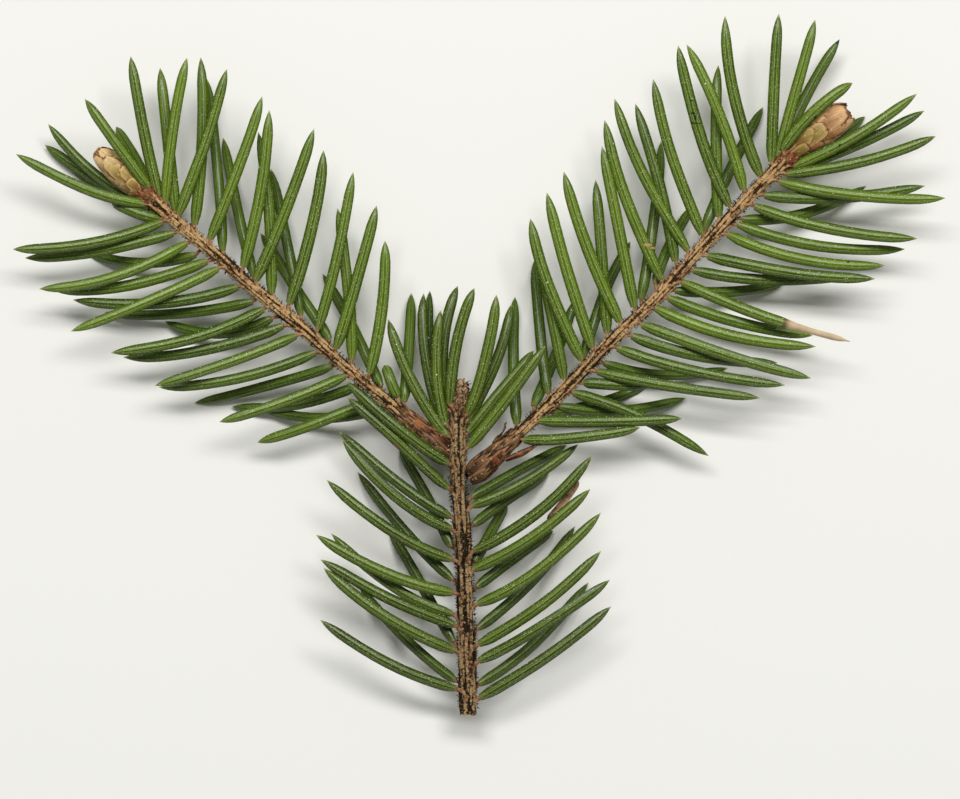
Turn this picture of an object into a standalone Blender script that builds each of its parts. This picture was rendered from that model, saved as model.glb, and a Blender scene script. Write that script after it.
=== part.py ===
"""A cut spruce branch lying on a surface: a short main stem, two long side shoots and three buds.

The branch lies in the X-Y plane, seen from above (+Z), with the cut end of its stem towards -Y.
The origin is under the middle of its outline, on the surface it lies on. Metres, +Z up.
Every place below is written in millimetres and becomes metres where a vertex is made.
"""
import math

import bmesh
import bpy
from mathutils import Vector

MM = 0.001

# Stems: centre lines in plan, from the thick end to the growing end, and their radii
STEM_LINE = [(-0.93, -31.4), (-1.1, -25.5), (-1.25, -20.0), (-1.5, -15.0), (-1.85, -11.0), (-1.9, -7.0),
             (-1.85, -3.9)]
LEFT_LINE = [(-1.9, -8.4), (-4.0, -6.8), (-8.0, -3.4), (-12.0, -0.1), (-16.0, 3.45), (-20.0, 6.7),
             (-24.0, 10.25), (-28.0, 13.6), (-29.7, 15.5)]
RIGHT_LINE = [(-1.9, -10.6), (0.0, -9.4), (4.0, -5.7), (8.0, -1.85), (12.0, 2.3), (16.0, 6.15),
              (20.0, 10.55), (24.0, 14.85), (27.8, 18.6)]
STEM_RADIUS = 0.95
STEM_TOP_RADIUS = 0.8
SHOOT_RADIUS = 0.68
SHOOT_END_RADIUS = 0.8
STEM_HEIGHT = 4.2
FORK_HEIGHT = 3.8
FORK_RISE_LENGTH = 9.0
SHOOT_END_SHARE = 0.1
RING_STEP = 2.3
AIM = 0.4
BARK_SIDES = 12
BARK_RIDGE = 0.06
BARK_TWIST = 0.12

# The papery scales left by the old bud wrap the foot of each side shoot in three overlapping rings
SLEEVE_START = 2.1
SLEEVE_LENGTH = 6.2
SLEEVE_RADIUS = 0.98
SLEEVE_TAPER = 0.45
SLEEVE_LEDGE = 0.16
SLEEVE_RINGS = 3
LEDGE_SHARE = 0.93
FORK_GAP = 0.3

# Needles: half width and half thickness at the broadest place, and the peg each one stands on
NEEDLE_HALF_WIDTH = {"stem": 0.54, "left": 0.53, "right": 0.54}
NEEDLE_HALF_THICKNESS = 0.36
NEEDLE_SIDES = 4
PEG_RADIUS = 0.27
PEG_DEPTH = 0.62
PEG_LEAN = 0.55
PEG_LIFT = 0.5
# Share of the length from root to tip, and share of the full width there
NEEDLE_PROFILE = [(0.0, 0.5), (0.13, 0.94), (0.5, 1.0), (0.87, 0.72)]

# Heights over the stem's centre at the root, the middle and the tip of the needles of each layer
TOP, OVER, LEVEL, LOW, UNDER = "top", "over", "level", "low", "under"
LAYER_HEIGHT = {TOP: (0.95, 2.3, 2.3), OVER: (0.35, 1.55, 1.75), LEVEL: (0.0, 0.1, -0.5),
                LOW: (-0.6, -1.5, -1.9), UNDER: (-0.35, -1.9, -3.9)}
LAYER_ORDER = [TOP, OVER, LEVEL, LOW, UNDER]
HEIGHT_SPREAD = 0.22
SPREAD_TURN = 2.4
CROSSING_GAP = 0.3
CROSSING_SAMPLES = 20
ROOT_ZONE = 0.16

# Each needle: root, middle and tip in plan, and its layer. Listed from the growing end down.
STEM_NEEDLES = [
    ((-2.62, -3.5), (-1.97, 2.0), (-0.42, 6.87), OVER),
    ((-2.95, -4.0), (-3.22, 1.8), (-1.9, 7.1), LEVEL),
    ((-3.0, -5.0), (-4.3, 0.8), (-4.42, 6.73), UNDER),
    ((-3.0, -5.4), (-3.8, -0.4), (-3.42, 4.9), OVER),
    ((-3.0, -5.85), (-4.72, 0.2), (-4.97, 6.45), LEVEL),
    ((-2.85, -6.35), (-6.0, -1.55), (-8.13, 4.1), OVER),
    ((-1.05, -4.4), (0.7, 0.7), (1.55, 6.26), OVER),
    ((-1.0, -4.9), (1.5, 0.3), (2.93, 5.47), LEVEL),
    ((-1.0, -6.0), (2.1, -2.2), (4.9, 1.3), LEVEL),
    ((-0.9, -7.3), (2.6, -2.9), (5.93, 1.7), OVER),
    ((-2.8, -8.8), (-7.3, -5.6), (-11.85, -1.45), TOP),
    ((-2.8, -11.0), (-7.3, -6.9), (-11.75, -2.9), OVER),
    ((-2.6, -13.6), (-7.6, -10.3), (-12.5, -6.0), LEVEL),
    ((-2.5, -14.7), (-7.5, -11.75), (-12.25, -6.6), OVER),
    ((-2.5, -16.3), (-4.6, -12.0), (-7.2, -7.6), UNDER),
    ((-2.5, -17.4), (-8.1, -14.7), (-13.6, -10.3), OVER),
    ((-2.4, -19.2), (-6.7, -14.9), (-10.95, -9.6), UNDER),
    ((-2.4, -20.4), (-8.4, -18.6), (-14.55, -15.2), OVER),
    ((-2.4, -22.3), (-8.0, -19.7), (-13.25, -15.1), LEVEL),
    ((-2.2, -23.3), (-8.1, -20.8), (-14.15, -17.4), OVER),
    ((-2.3, -24.8), (-5.3, -19.6), (-8.2, -14.6), UNDER),
    ((-2.2, -25.6), (-8.2, -22.6), (-13.9, -18.15), OVER),
    ((-2.1, -28.3), (-6.3, -24.9), (-10.85, -19.85), UNDER),
    ((-2.1, -29.0), (-8.2, -26.6), (-14.2, -22.8), OVER),
    ((-0.6, -11.8), (3.6, -9.5), (7.9, -7.2), UNDER),
    ((-0.6, -12.6), (4.1, -10.5), (8.9, -7.1), LEVEL),
    ((-0.5, -14.3), (2.9, -11.9), (6.3, -9.6), UNDER),
    ((-0.4, -16.6), (5.0, -13.4), (10.1, -8.1), OVER),
    ((-0.4, -17.6), (1.1, -15.0), (2.5, -12.5), UNDER),
    ((-0.5, -18.3), (4.8, -15.35), (9.95, -11.1), OVER),
    ((-0.2, -19.9), (3.4, -17.2), (6.7, -14.9), UNDER),
    ((-0.1, -21.4), (5.6, -18.2), (10.9, -13.2), OVER),
    ((-0.1, -23.6), (4.6, -19.6), (8.65, -14.5), UNDER),
    ((0.0, -25.0), (5.6, -21.45), (10.9, -16.65), OVER),
    ((0.0, -26.5), (6.0, -23.2), (11.7, -19.2), OVER),
    ((0.0, -28.6), (5.0, -24.95), (9.88, -19.55), UNDER),
    ((0.1, -29.8), (6.2, -26.0), (11.8, -21.6), OVER),
]
LEFT_NEEDLES = [
    ((-29.6, 15.9), (-32.2, 19.5), (-35.2, 23.75), TOP),
    ((-29.1, 15.6), (-31.0, 18.7), (-32.7, 21.5), UNDER),
    ((-28.7, 15.2), (-30.05, 21.3), (-31.15, 27.6), OVER),
    ((-28.1, 14.7), (-27.35, 21.2), (-26.1, 27.45), OVER),
    ((-27.2, 13.9), (-27.9, 20.3), (-28.6, 26.65), LEVEL),
    ((-26.9, 13.5), (-24.5, 20.0), (-22.55, 26.45), OVER),
    ((-25.5, 12.6), (-24.8, 20.1), (-24.95, 27.6), LEVEL),
    ((-24.1, 11.3), (-21.5, 17.6), (-19.4, 24.0), OVER),
    ((-23.0, 10.2), (-23.5, 18.0), (-24.5, 25.8), UNDER),
    ((-21.1, 8.8), (-19.5, 15.8), (-18.75, 22.75), OVER),
    ((-20.2, 8.0), (-21.75, 14.2), (-23.05, 20.5), UNDER),
    ((-20.0, 7.6), (-17.1, 14.3), (-14.75, 21.1), OVER),
    ((-18.6, 6.4), (-18.8, 13.6), (-19.8, 20.9), LEVEL),
    ((-17.0, 5.5), (-14.9, 12.3), (-13.9, 19.2), OVER),
    ((-16.0, 4.5), (-17.2, 11.0), (-18.75, 17.7), UNDER),
    ((-14.4, 3.3), (-12.6, 10.2), (-11.25, 17.25), OVER),
    ((-13.4, 2.3), (-16.5, 7.0), (-19.7, 11.9), UNDER),
    ((-12.8, 1.5), (-10.8, 7.9), (-9.15, 14.25), OVER),
    ((-11.4, 0.5), (-11.75, 7.3), (-12.7, 14.05), LEVEL),
    ((-9.8, -0.7), (-8.65, 5.2), (-8.4, 11.1), OVER),
    ((-8.8, -1.9), (-11.2, 3.0), (-14.1, 8.25), UNDER),
    ((-7.3, -2.9), (-7.9, -1.4), (-8.5, 0.0), LEVEL),
    ((-6.75, -3.3), (-6.3, 1.5), (-6.1, 6.5), UNDER),
    ((-29.95, 14.4), (-35.5, 15.9), (-41.4, 18.85), OVER),
    ((-30.2, 14.7), (-34.6, 17.25), (-38.7, 21.65), LOW),
    ((-29.6, 14.2), (-34.4, 16.65), (-39.1, 19.85), LOW),
    ((-29.2, 13.7), (-33.2, 15.7), (-36.8, 17.75), UNDER),
    ((-28.7, 13.1), (-30.9, 13.7), (-33.0, 14.7), LEVEL),
    ((-28.4, 12.8), (-35.0, 10.85), (-41.7, 10.35), OVER),
    ((-27.4, 11.8), (-34.1, 10.2), (-40.7, 9.6), LEVEL),
    ((-26.2, 10.9), (-32.6, 7.9), (-39.3, 6.8), OVER),
    ((-25.4, 9.9), (-30.3, 9.2), (-35.5, 10.2), UNDER),
    ((-24.4, 9.3), (-31.2, 7.2), (-38.2, 6.7), LEVEL),
    ((-23.4, 8.6), (-29.8, 5.6), (-36.5, 3.0), OVER),
    ((-21.6, 7.0), (-29.0, 5.5), (-36.4, 5.85), LEVEL),
    ((-20.3, 5.7), (-27.0, 4.6), (-33.7, 4.75), UNDER),
    ((-19.3, 5.0), (-26.0, 2.3), (-32.9, 1.1), OVER),
    ((-18.6, 4.2), (-23.4, 2.8), (-28.3, 3.95), UNDER),
    ((-17.6, 3.5), (-24.6, 1.3), (-31.9, 0.7), LEVEL),
    ((-16.4, 2.6), (-22.6, 0.15), (-29.0, -1.85), OVER),
    ((-14.7, 1.1), (-21.6, -1.2), (-28.7, -2.0), LEVEL),
    ((-13.2, -0.1), (-19.3, -2.0), (-25.65, -3.4), UNDER),
    ((-12.0, -1.0), (-17.5, -3.3), (-23.2, -5.1), OVER),
    ((-11.0, -1.9), (-16.3, -3.5), (-22.3, -3.75), UNDER),
    ((-9.4, -3.2), (-14.6, -5.2), (-19.9, -6.95), LEVEL),
    ((-8.6, -3.9), (-14.0, -4.7), (-19.8, -3.9), UNDER),
]
RIGHT_NEEDLES = [
    ((27.2, 19.3), (29.9, 22.6), (33.38, 25.2), TOP),
    ((27.0, 19.0), (29.3, 24.0), (32.4, 29.27), LOW),
    ((26.8, 18.7), (28.4, 24.6), (30.06, 30.87), OVER),
    ((26.2, 18.2), (26.4, 24.8), (26.82, 31.4), OVER),
    ((25.2, 17.0), (22.9, 23.6), (22.0, 31.2), OVER),
    ((23.7, 15.7), (21.6, 22.2), (18.57, 28.65), OVER),
    ((22.4, 14.3), (19.5, 21.4), (17.8, 28.55), OVER),
    ((21.5, 13.3), (21.2, 20.0), (21.48, 26.9), LEVEL),
    ((20.2, 12.2), (22.8, 18.0), (25.6, 23.25), UNDER),
    ((20.0, 11.7), (17.35, 18.5), (15.57, 25.55), OVER),
    ((18.7, 10.3), (14.75, 17.0), (12.13, 23.8), OVER),
    ((17.6, 9.3), (16.1, 16.2), (14.02, 23.45), LEVEL),
    ((16.3, 7.7), (13.2, 14.8), (11.24, 21.9), OVER),
    ((15.8, 7.3), (17.3, 11.1), (19.2, 14.2), UNDER),
    ((14.5, 5.9), (15.75, 13.0), (16.4, 20.2), UNDER),
    ((13.9, 5.2), (12.45, 12.4), (11.0, 19.55), OVER),
    ((12.6, 3.9), (9.75, 10.3), (7.58, 17.27), OVER),
    ((11.5, 2.9), (11.0, 9.6), (10.45, 16.6), LEVEL),
    ((10.1, 1.6), (7.95, 8.3), (6.07, 15.4), OVER),
    ((9.4, 0.9), (11.3, 6.4), (13.65, 11.15), UNDER),
    ((9.2, 0.5), (6.35, 6.7), (4.6, 13.1), OVER),
    ((7.6, -1.2), (6.6, 4.0), (5.4, 9.4), LEVEL),
    ((6.2, -2.5), (5.4, 3.4), (5.0, 9.5), UNDER),
    ((4.9, -3.7), (6.9, 1.0), (8.7, 6.0), UNDER),
    ((3.4, -5.3), (3.1, 0.4), (3.25, 6.17), UNDER),
    ((28.6, 18.2), (31.7, 20.1), (34.8, 22.42), UNDER),
    ((28.2, 17.8), (33.4, 20.3), (39.15, 24.24), OVER),
    ((28.0, 17.5), (34.0, 19.8), (39.93, 22.8), LEVEL),
    ((27.6, 17.1), (34.6, 18.3), (40.85, 20.46), OVER),
    ((27.0, 16.4), (34.2, 15.05), (41.7, 14.92), OVER),
    ((25.6, 15.2), (32.5, 15.0), (40.0, 16.07), LEVEL),
    ((24.7, 14.2), (31.7, 12.1), (39.2, 11.3), OVER),
    ((23.6, 13.1), (29.2, 13.6), (34.9, 16.15), UNDER),
    ((23.2, 12.6), (30.6, 10.65), (38.2, 10.4), LEVEL),
    ((22.3, 11.7), (29.0, 9.4), (36.3, 8.9), OVER),
    ((20.5, 9.75), (27.8, 8.3), (35.4, 7.7), OVER),
    ((19.2, 8.5), (26.5, 7.6), (34.0, 8.15), LEVEL),
    ((18.2, 7.4), (25.4, 4.4), (33.15, 2.1), OVER),
    ((17.6, 6.7), (22.8, 6.6), (27.5, 7.4), UNDER),
    ((17.0, 6.0), (23.4, 3.75), (29.95, 2.65), LEVEL),
    ((15.8, 5.1), (22.6, 2.6), (30.1, 1.65), OVER),
    ((14.6, 3.6), (22.0, 0.95), (29.7, -1.2), OVER),
    ((13.7, 2.6), (20.0, 0.75), (26.8, 0.2), LEVEL),
    ((12.4, 1.5), (19.6, -0.65), (27.35, -1.8), OVER),
    ((11.2, 0.2), (16.4, -0.9), (22.4, -0.25), UNDER),
    ((10.6, -0.6), (17.8, -2.0), (25.1, -2.95), OVER),
    ((9.4, -1.6), (12.2, -1.75), (15.3, -1.9), LEVEL),
    ((8.45, -2.5), (14.2, -4.6), (20.6, -8.15), LEVEL),
    ((7.2, -3.7), (12.8, -4.1), (18.66, -2.97), UNDER),
    ((6.6, -4.3), (11.2, -3.3), (15.4, -1.6), UNDER),
    ((5.4, -5.0), (11.8, -5.05), (18.15, -4.78), OVER),
    ((4.0, -6.7), (9.2, -6.5), (14.4, -5.6), OVER),
]

# Buds: foot and tip in plan, their heights, greatest radius, and radius shares from foot to tip
LEFT_BUD = {"foot": (-30.35, 16.05), "tip": (-34.5, 19.4), "heights": (4.35, 4.75), "radius": 1.33, "flat": 0.85,
            "shares": [0.66, 0.9, 1.0, 0.97, 0.83, 0.58], "ledge": 0.12}
RIGHT_BUD = {"foot": (28.6, 19.5), "tip": (33.2, 23.1), "heights": (4.35, 4.75), "radius": 1.56, "flat": 0.76,
             "shares": [0.6, 0.8, 0.97, 1.0, 0.93, 0.76], "ledge": 0.14}
LEADER_BUD = {"foot": (-1.83, -3.45), "tip": (-1.72, -1.4), "heights": (4.1, 4.1), "radius": 0.6, "flat": 1.0,
              "shares": [0.6, 1.0, 0.86, 0.45], "ledge": 0.06}
LEDGE_STEP = 0.03
BUD_END_SHARE = 0.55
BUD_SIDES = 10

COLOURS = {
    "bark": ((0.42, 0.25, 0.13, 1.0), 0.8),
    "needle": ((0.1, 0.2, 0.04, 1.0), 0.45),
    "bud": ((0.55, 0.36, 0.17, 1.0), 0.6),
    "dark_bud": ((0.2, 0.1, 0.05, 1.0), 0.8),
}


def smooth_line(points, step):
    """Points about step apart on a smooth curve through the given plan points."""
    ends = [2 * Vector(points[0]) - Vector(points[1])]
    ends += [Vector(p) for p in points]
    ends.append(2 * Vector(points[-1]) - Vector(points[-2]))
    line = []
    for a, b, c, d in zip(ends, ends[1:], ends[2:], ends[3:]):
        count = max(1, round((c - b).length / step))
        for i in range(count):
            t = i / count
            line.append(0.5 * (2 * b + (c - a) * t + (2 * a - 5 * b + 4 * c - d) * t ** 2
                               + (3 * b - a - 3 * c + d) * t ** 3))
    line.append(Vector(points[-1]))
    return line


def stem_height(travelled, from_fork):
    """Height of a stem's axis: a side shoot leaves low beside the stem and rises to its level."""
    if not from_fork:
        return STEM_HEIGHT
    share = min(1.0, travelled / FORK_RISE_LENGTH)
    return FORK_HEIGHT + (STEM_HEIGHT - FORK_HEIGHT) * share * share * (3 - 2 * share)


def stem_axis(points, from_fork):
    """The stem's axis as 3-D points, with the distance travelled to each."""
    axis = []
    travelled = 0.0
    last = None
    for place in smooth_line(points, RING_STEP):
        if last is not None:
            travelled += (place - last).length
        axis.append((Vector((place.x, place.y, stem_height(travelled, from_fork))), travelled))
        last = place
    return axis


def add_ring(mesh, centre, across, up, radii):
    """One closed ring of vertices, one for each radius, around a centre."""
    ring = []
    for i, (wide, high) in enumerate(radii):
        angle = 2 * math.pi * i / len(radii)
        offset = across * (wide * math.cos(angle)) + up * (high * math.sin(angle))
        ring.append(mesh.verts.new((centre + offset) * MM))
    return ring


def join_rings(mesh, rings):
    """Side faces between following rings, and a flat cap at each end."""
    for low, high in zip(rings, rings[1:]):
        for i in range(len(low)):
            j = (i + 1) % len(low)
            mesh.faces.new((low[i], low[j], high[j], high[i]))
    mesh.faces.new(list(reversed(rings[0])))
    mesh.faces.new(rings[-1])


def bark_radii(radius, ring_number):
    """Radii around one ring of bark: ridges and grooves that wind slowly round the stem."""
    radii = []
    for i in range(BARK_SIDES):
        wave = math.cos(math.pi * i + BARK_TWIST * ring_number)
        radii.append((radius * (1 + BARK_RIDGE * wave), radius * (1 + BARK_RIDGE * wave)))
    return radii


def stem_radius(travelled, length, from_fork):
    """Radius of a stem at a distance from its thick end, with the old bud's rings at a shoot's foot."""
    share = travelled / length
    if not from_fork:
        return STEM_RADIUS + (STEM_TOP_RADIUS - STEM_RADIUS) * share
    end = max(0.0, share - 1 + SHOOT_END_SHARE) / SHOOT_END_SHARE
    plain = SHOOT_RADIUS + (SHOOT_END_RADIUS - SHOOT_RADIUS) * end
    if travelled > SLEEVE_LENGTH:
        return plain
    ring = travelled / SLEEVE_LENGTH * SLEEVE_RINGS
    taper = (SLEEVE_RADIUS - plain) * (travelled / SLEEVE_LENGTH) * SLEEVE_TAPER
    return SLEEVE_RADIUS - taper - SLEEVE_LEDGE * (ring - int(ring))


def stem_stations(points, from_fork):
    """Where the rings stand: centre, direction and radius. A shoot starts clear of the stem."""
    axis = stem_axis(points, from_fork)
    length = axis[-1][1]
    places = list(axis)
    if from_fork:
        shares = [(i + edge) / SLEEVE_RINGS for i in range(SLEEVE_RINGS) for edge in (0.0, LEDGE_SHARE)]
        fine = [SLEEVE_START + share * (SLEEVE_LENGTH - SLEEVE_START) for share in shares]
        places = [(point_at(axis, f), f) for f in fine]
        places += [p for p in axis if p[1] > SLEEVE_LENGTH + AIM]
    stations = []
    for centre, travelled in places:
        ahead = point_at(axis, travelled + AIM)
        behind = point_at(axis, travelled - AIM)
        stations.append((centre, (ahead - behind).normalized(), stem_radius(travelled, length, from_fork)))
    return stations


def point_at(axis, distance):
    """The point of an axis at a distance along it, straight on past its ends."""
    for (a, at), (b, bt) in zip(axis, axis[1:]):
        if distance <= bt or b is axis[-1][0]:
            return a.lerp(b, (distance - at) / (bt - at))
    return axis[-1][0]


def stem_mesh(mesh, points, from_fork):
    """A ridged stem. Its thick end is cut square to Y, or mitred beside the main stem at a fork."""
    up = Vector((0, 0, 1))
    stations = stem_stations(points, from_fork)
    rings = []
    for number, (centre, forward, radius) in enumerate(stations):
        if number == 0 and not from_fork:
            forward = Vector((0, 1, 0))
        across = forward.cross(up).normalized()
        rings.append(add_ring(mesh, centre, across, across.cross(forward), bark_radii(radius, number)))
    if from_fork:
        side = 1 if stations[-1][0].x > stations[0][0].x else -1
        wall = STEM_LINE[4][0] + side * (STEM_RADIUS + FORK_GAP)
        forward = stations[0][1]
        for vert in rings[0]:
            vert.co += forward * ((wall * MM - vert.co.x) / forward.x)
    join_rings(mesh, rings)


def needle_plan(row, t):
    """Plan point of a needle: the curve through its root, its middle and its tip."""
    root, middle, tip = (Vector(p) for p in row[:3])
    bend = 2 * middle - (root + tip) / 2
    return root * (1 - t) ** 2 + bend * (2 * t * (1 - t)) + tip * t ** 2


def needle_height(row, number, t, drop):
    """Height of a needle's axis: its layer's curve, a little of its own, less its drop at crossings."""
    low, middle, high = LAYER_HEIGHT[row[3]]
    bend = 2 * middle - (low + high) / 2
    curve = low * (1 - t) ** 2 + bend * 2 * t * (1 - t) + high * t ** 2
    own = HEIGHT_SPREAD * math.sin(SPREAD_TURN * number) * t
    height = STEM_HEIGHT + curve + own - drop * math.sqrt(t)
    return max(height, needle_share(t) * NEEDLE_HALF_THICKNESS)


def needle_share(t):
    """Share of the full width at t, by straight lines between the profile's points."""
    profile = NEEDLE_PROFILE + [(1.0, 0.0)]
    for (a, wide_a), (b, wide_b) in zip(profile, profile[1:]):
        if t <= b:
            return wide_a + (wide_b - wide_a) * (t - a) / (b - a)
    return 0.0


def settle(tables):
    """How far each needle drops so that it passes under every needle in front of it that it crosses.

    The needles are taken layer by layer from the top, the stem's before the shoots'.
    """
    waiting = []
    for name, rows in tables:
        for number, row in enumerate(rows):
            waiting.append((LAYER_ORDER.index(row[3]), len(waiting), name, number, row))
    shares = [(i + 1) / CROSSING_SAMPLES for i in range(CROSSING_SAMPLES)]
    placed = []
    drops = {}
    for _, _, name, number, row in sorted(waiting):
        half = NEEDLE_HALF_WIDTH[name]
        drop = 0.0
        own = [(needle_plan(row, t), t) for t in shares if t > ROOT_ZONE]
        for other in placed:
            for place, t in own:
                for front, front_t, front_height, front_half in other:
                    reach = needle_share(t) * half + needle_share(front_t) * front_half
                    apart = (place - front).length / (reach + CROSSING_GAP / 2)
                    if apart > 1:
                        continue
                    thick = (needle_share(t) + needle_share(front_t)) * NEEDLE_HALF_THICKNESS
                    under = front_height - (thick + CROSSING_GAP) * (1 - apart)
                    drop = max(drop, (needle_height(row, number, t, 0.0) - under) / math.sqrt(t))
        drops[name, number] = drop
        placed.append([(needle_plan(row, t), t, needle_height(row, number, t, drop), half) for t in shares])
    return drops


def needle_mesh(mesh, name, number, row, drop, axis):
    """A four-sided needle on its peg, from inside the stem to a sharp tip."""
    up = Vector((0, 0, 1))
    places = []
    for t, share in NEEDLE_PROFILE:
        plan = needle_plan(row, t)
        places.append((Vector((plan.x, plan.y, needle_height(row, number, t, drop))), share))
    tip_plan = needle_plan(row, 1.0)
    tip = Vector((tip_plan.x, tip_plan.y, needle_height(row, number, 1.0, drop)))
    root = places[0][0]
    nearest = min(axis, key=lambda item: (item[0] - root).length)
    beside = closest_distance(axis, root)
    seat = point_at(axis, beside - PEG_LEAN)
    seat.z += PEG_LIFT * (root.z - nearest[0].z)
    inward = (seat - root).normalized()
    foot = root + inward * PEG_DEPTH
    half = NEEDLE_HALF_WIDTH[name]
    rings = []
    centres = [foot] + [p for p, _ in places] + [tip]
    sizes = [(PEG_RADIUS, PEG_RADIUS)]
    sizes += [(half * share, NEEDLE_HALF_THICKNESS * share) for _, share in places]
    for i, (wide, high) in enumerate(sizes):
        forward = (centres[i + 1] - centres[max(0, i - 1)]).normalized()
        across = forward.cross(up).normalized()
        rings.append(add_ring(mesh, centres[i], across, across.cross(forward), [(wide, high)] * NEEDLE_SIDES))
    for low, high in zip(rings, rings[1:]):
        for i in range(NEEDLE_SIDES):
            j = (i + 1) % NEEDLE_SIDES
            mesh.faces.new((low[i], low[j], high[j], high[i]))
    mesh.faces.new(list(reversed(rings[0])))
    point = mesh.verts.new(tip * MM)
    for i in range(NEEDLE_SIDES):
        mesh.faces.new((rings[-1][i], rings[-1][(i + 1) % NEEDLE_SIDES], point))


def closest_distance(axis, place):
    """Distance along an axis of the point nearest to a place, seen in plan."""
    best = (1e9, 0.0)
    for (a, at), (b, bt) in zip(axis, axis[1:]):
        run = (b - a).xy
        share = max(0.0, min(1.0, (place - a).xy.dot(run) / run.length_squared))
        gap = (a.xy + run * share - place.xy).length
        best = min(best, (gap, at + (bt - at) * share))
    return best[1]


def bud_mesh(mesh, bud):
    """A bud on its axis, with a ledge where each round of scales ends over the next."""
    foot = Vector((*bud["foot"], bud["heights"][0]))
    tip = Vector((*bud["tip"], bud["heights"][1]))
    forward = (tip - foot).normalized()
    up = Vector((0, 0, 1))
    across = forward.cross(up).normalized()
    shares = bud["shares"]
    rings = []
    for i, share in enumerate(shares):
        here = i / len(shares)
        radius = bud["radius"] * share
        sizes = [(radius, radius * bud["flat"])] * BUD_SIDES
        rings.append(add_ring(mesh, foot.lerp(tip, here), across, up, sizes))
        if 0 < i < len(shares):
            under = radius - bud["ledge"]
            sizes = [(under, under * bud["flat"])] * BUD_SIDES
            rings.append(add_ring(mesh, foot.lerp(tip, here + LEDGE_STEP), across, up, sizes))
    last = bud["radius"] * shares[-1] * BUD_END_SHARE
    rings.append(add_ring(mesh, tip, across, up, [(last, last * bud["flat"])] * BUD_SIDES))
    join_rings(mesh, rings)


def material(name):
    """A plain material of the part's own colour."""
    colour, roughness = COLOURS[name]
    made = bpy.data.materials.new(name)
    made.use_nodes = True
    shader = made.node_tree.nodes["Principled BSDF"]
    shader.inputs["Base Color"].default_value = colour
    shader.inputs["Roughness"].default_value = roughness
    shader.inputs["Metallic"].default_value = 0.0
    return made


def new_object(name, mesh, surface):
    """A scene object from a bmesh, all its faces pointing outwards."""
    bmesh.ops.recalc_face_normals(mesh, faces=mesh.faces)
    data = bpy.data.meshes.new(name)
    mesh.to_mesh(data)
    mesh.free()
    data.materials.append(surface)
    made = bpy.data.objects.new(name, data)
    bpy.context.scene.collection.objects.link(made)
    return made


def build_shoot(node, name, points, rows, from_fork, drops, surfaces):
    """A stem fused with all the needles that grow from it."""
    body = bmesh.new()
    stem_mesh(body, points, from_fork)
    shoot = new_object(node, body, surfaces["bark"])
    axis = stem_axis(points, from_fork)
    needles = bmesh.new()
    for number, row in enumerate(rows):
        needle_mesh(needles, name, number, row, drops[name, number], axis)
    guide = new_object(node + "_needles", needles, surfaces["needle"])
    guide.hide_render = True
    guide.display_type = "WIRE"
    fuse = shoot.modifiers.new("needles", "BOOLEAN")
    fuse.operation = "UNION"
    fuse.solver = "EXACT"
    fuse.use_self = True
    fuse.object = guide
    return shoot


def build_bud(node, bud, surface):
    """One bud, just clear of the end of its shoot."""
    mesh = bmesh.new()
    bud_mesh(mesh, bud)
    return new_object(node, mesh, surface)


TABLES = [("stem", STEM_NEEDLES), ("left", LEFT_NEEDLES), ("right", RIGHT_NEEDLES)]


def main():
    for thing in list(bpy.data.objects):
        bpy.data.objects.remove(thing)
    surfaces = {name: material(name) for name in COLOURS}
    drops = settle(TABLES)
    build_shoot("main_stem", "stem", STEM_LINE, STEM_NEEDLES, False, drops, surfaces)
    build_shoot("left_shoot", "left", LEFT_LINE, LEFT_NEEDLES, True, drops, surfaces)
    build_shoot("right_shoot", "right", RIGHT_LINE, RIGHT_NEEDLES, True, drops, surfaces)
    build_bud("left_bud", LEFT_BUD, surfaces["bud"])
    build_bud("right_bud", RIGHT_BUD, surfaces["bud"])
    build_bud("leader_bud", LEADER_BUD, surfaces["dark_bud"])


main()
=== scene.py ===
import bisect
import math
import random

import bmesh
import bpy
from mathutils import Matrix, Vector


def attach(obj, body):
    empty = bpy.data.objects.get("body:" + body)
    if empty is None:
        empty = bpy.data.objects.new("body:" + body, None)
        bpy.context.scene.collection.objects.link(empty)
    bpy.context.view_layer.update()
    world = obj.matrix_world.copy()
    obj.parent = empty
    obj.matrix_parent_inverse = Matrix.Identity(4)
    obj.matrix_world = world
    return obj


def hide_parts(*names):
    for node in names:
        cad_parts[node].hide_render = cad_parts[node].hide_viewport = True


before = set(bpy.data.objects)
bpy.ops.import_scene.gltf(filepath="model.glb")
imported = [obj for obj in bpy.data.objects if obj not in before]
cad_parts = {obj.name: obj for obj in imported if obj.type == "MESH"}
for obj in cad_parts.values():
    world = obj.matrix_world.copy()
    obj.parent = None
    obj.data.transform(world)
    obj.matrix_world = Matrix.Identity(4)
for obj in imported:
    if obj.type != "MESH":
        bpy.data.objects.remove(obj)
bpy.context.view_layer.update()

chance = random.Random(11)
mm = 0.001      # sizes are in millimetres until a vertex is placed, bump depths and the room in metres
sharpAngle = 62     # degrees: edges that turn more than this stay sharp

print("spruce branch: reading the stems")

# Where the twigs run, seen from above, thick end first: the same lines as the solids
stemLine = [(-0.93, -31.4), (-1.1, -25.5), (-1.25, -20.0), (-1.5, -15.0), (-1.85, -11.0), (-1.9, -7.0),
            (-1.85, -3.9)]
leftLine = [(-1.9, -8.4), (-4.0, -6.8), (-8.0, -3.4), (-12.0, -0.1), (-16.0, 3.45), (-20.0, 6.7),
            (-24.0, 10.25), (-28.0, 13.6), (-29.7, 15.5)]
rightLine = [(-1.9, -10.6), (0.0, -9.4), (4.0, -5.7), (8.0, -1.85), (12.0, 2.3), (16.0, 6.15),
             (20.0, 10.55), (24.0, 14.85), (27.8, 18.6)]

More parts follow.
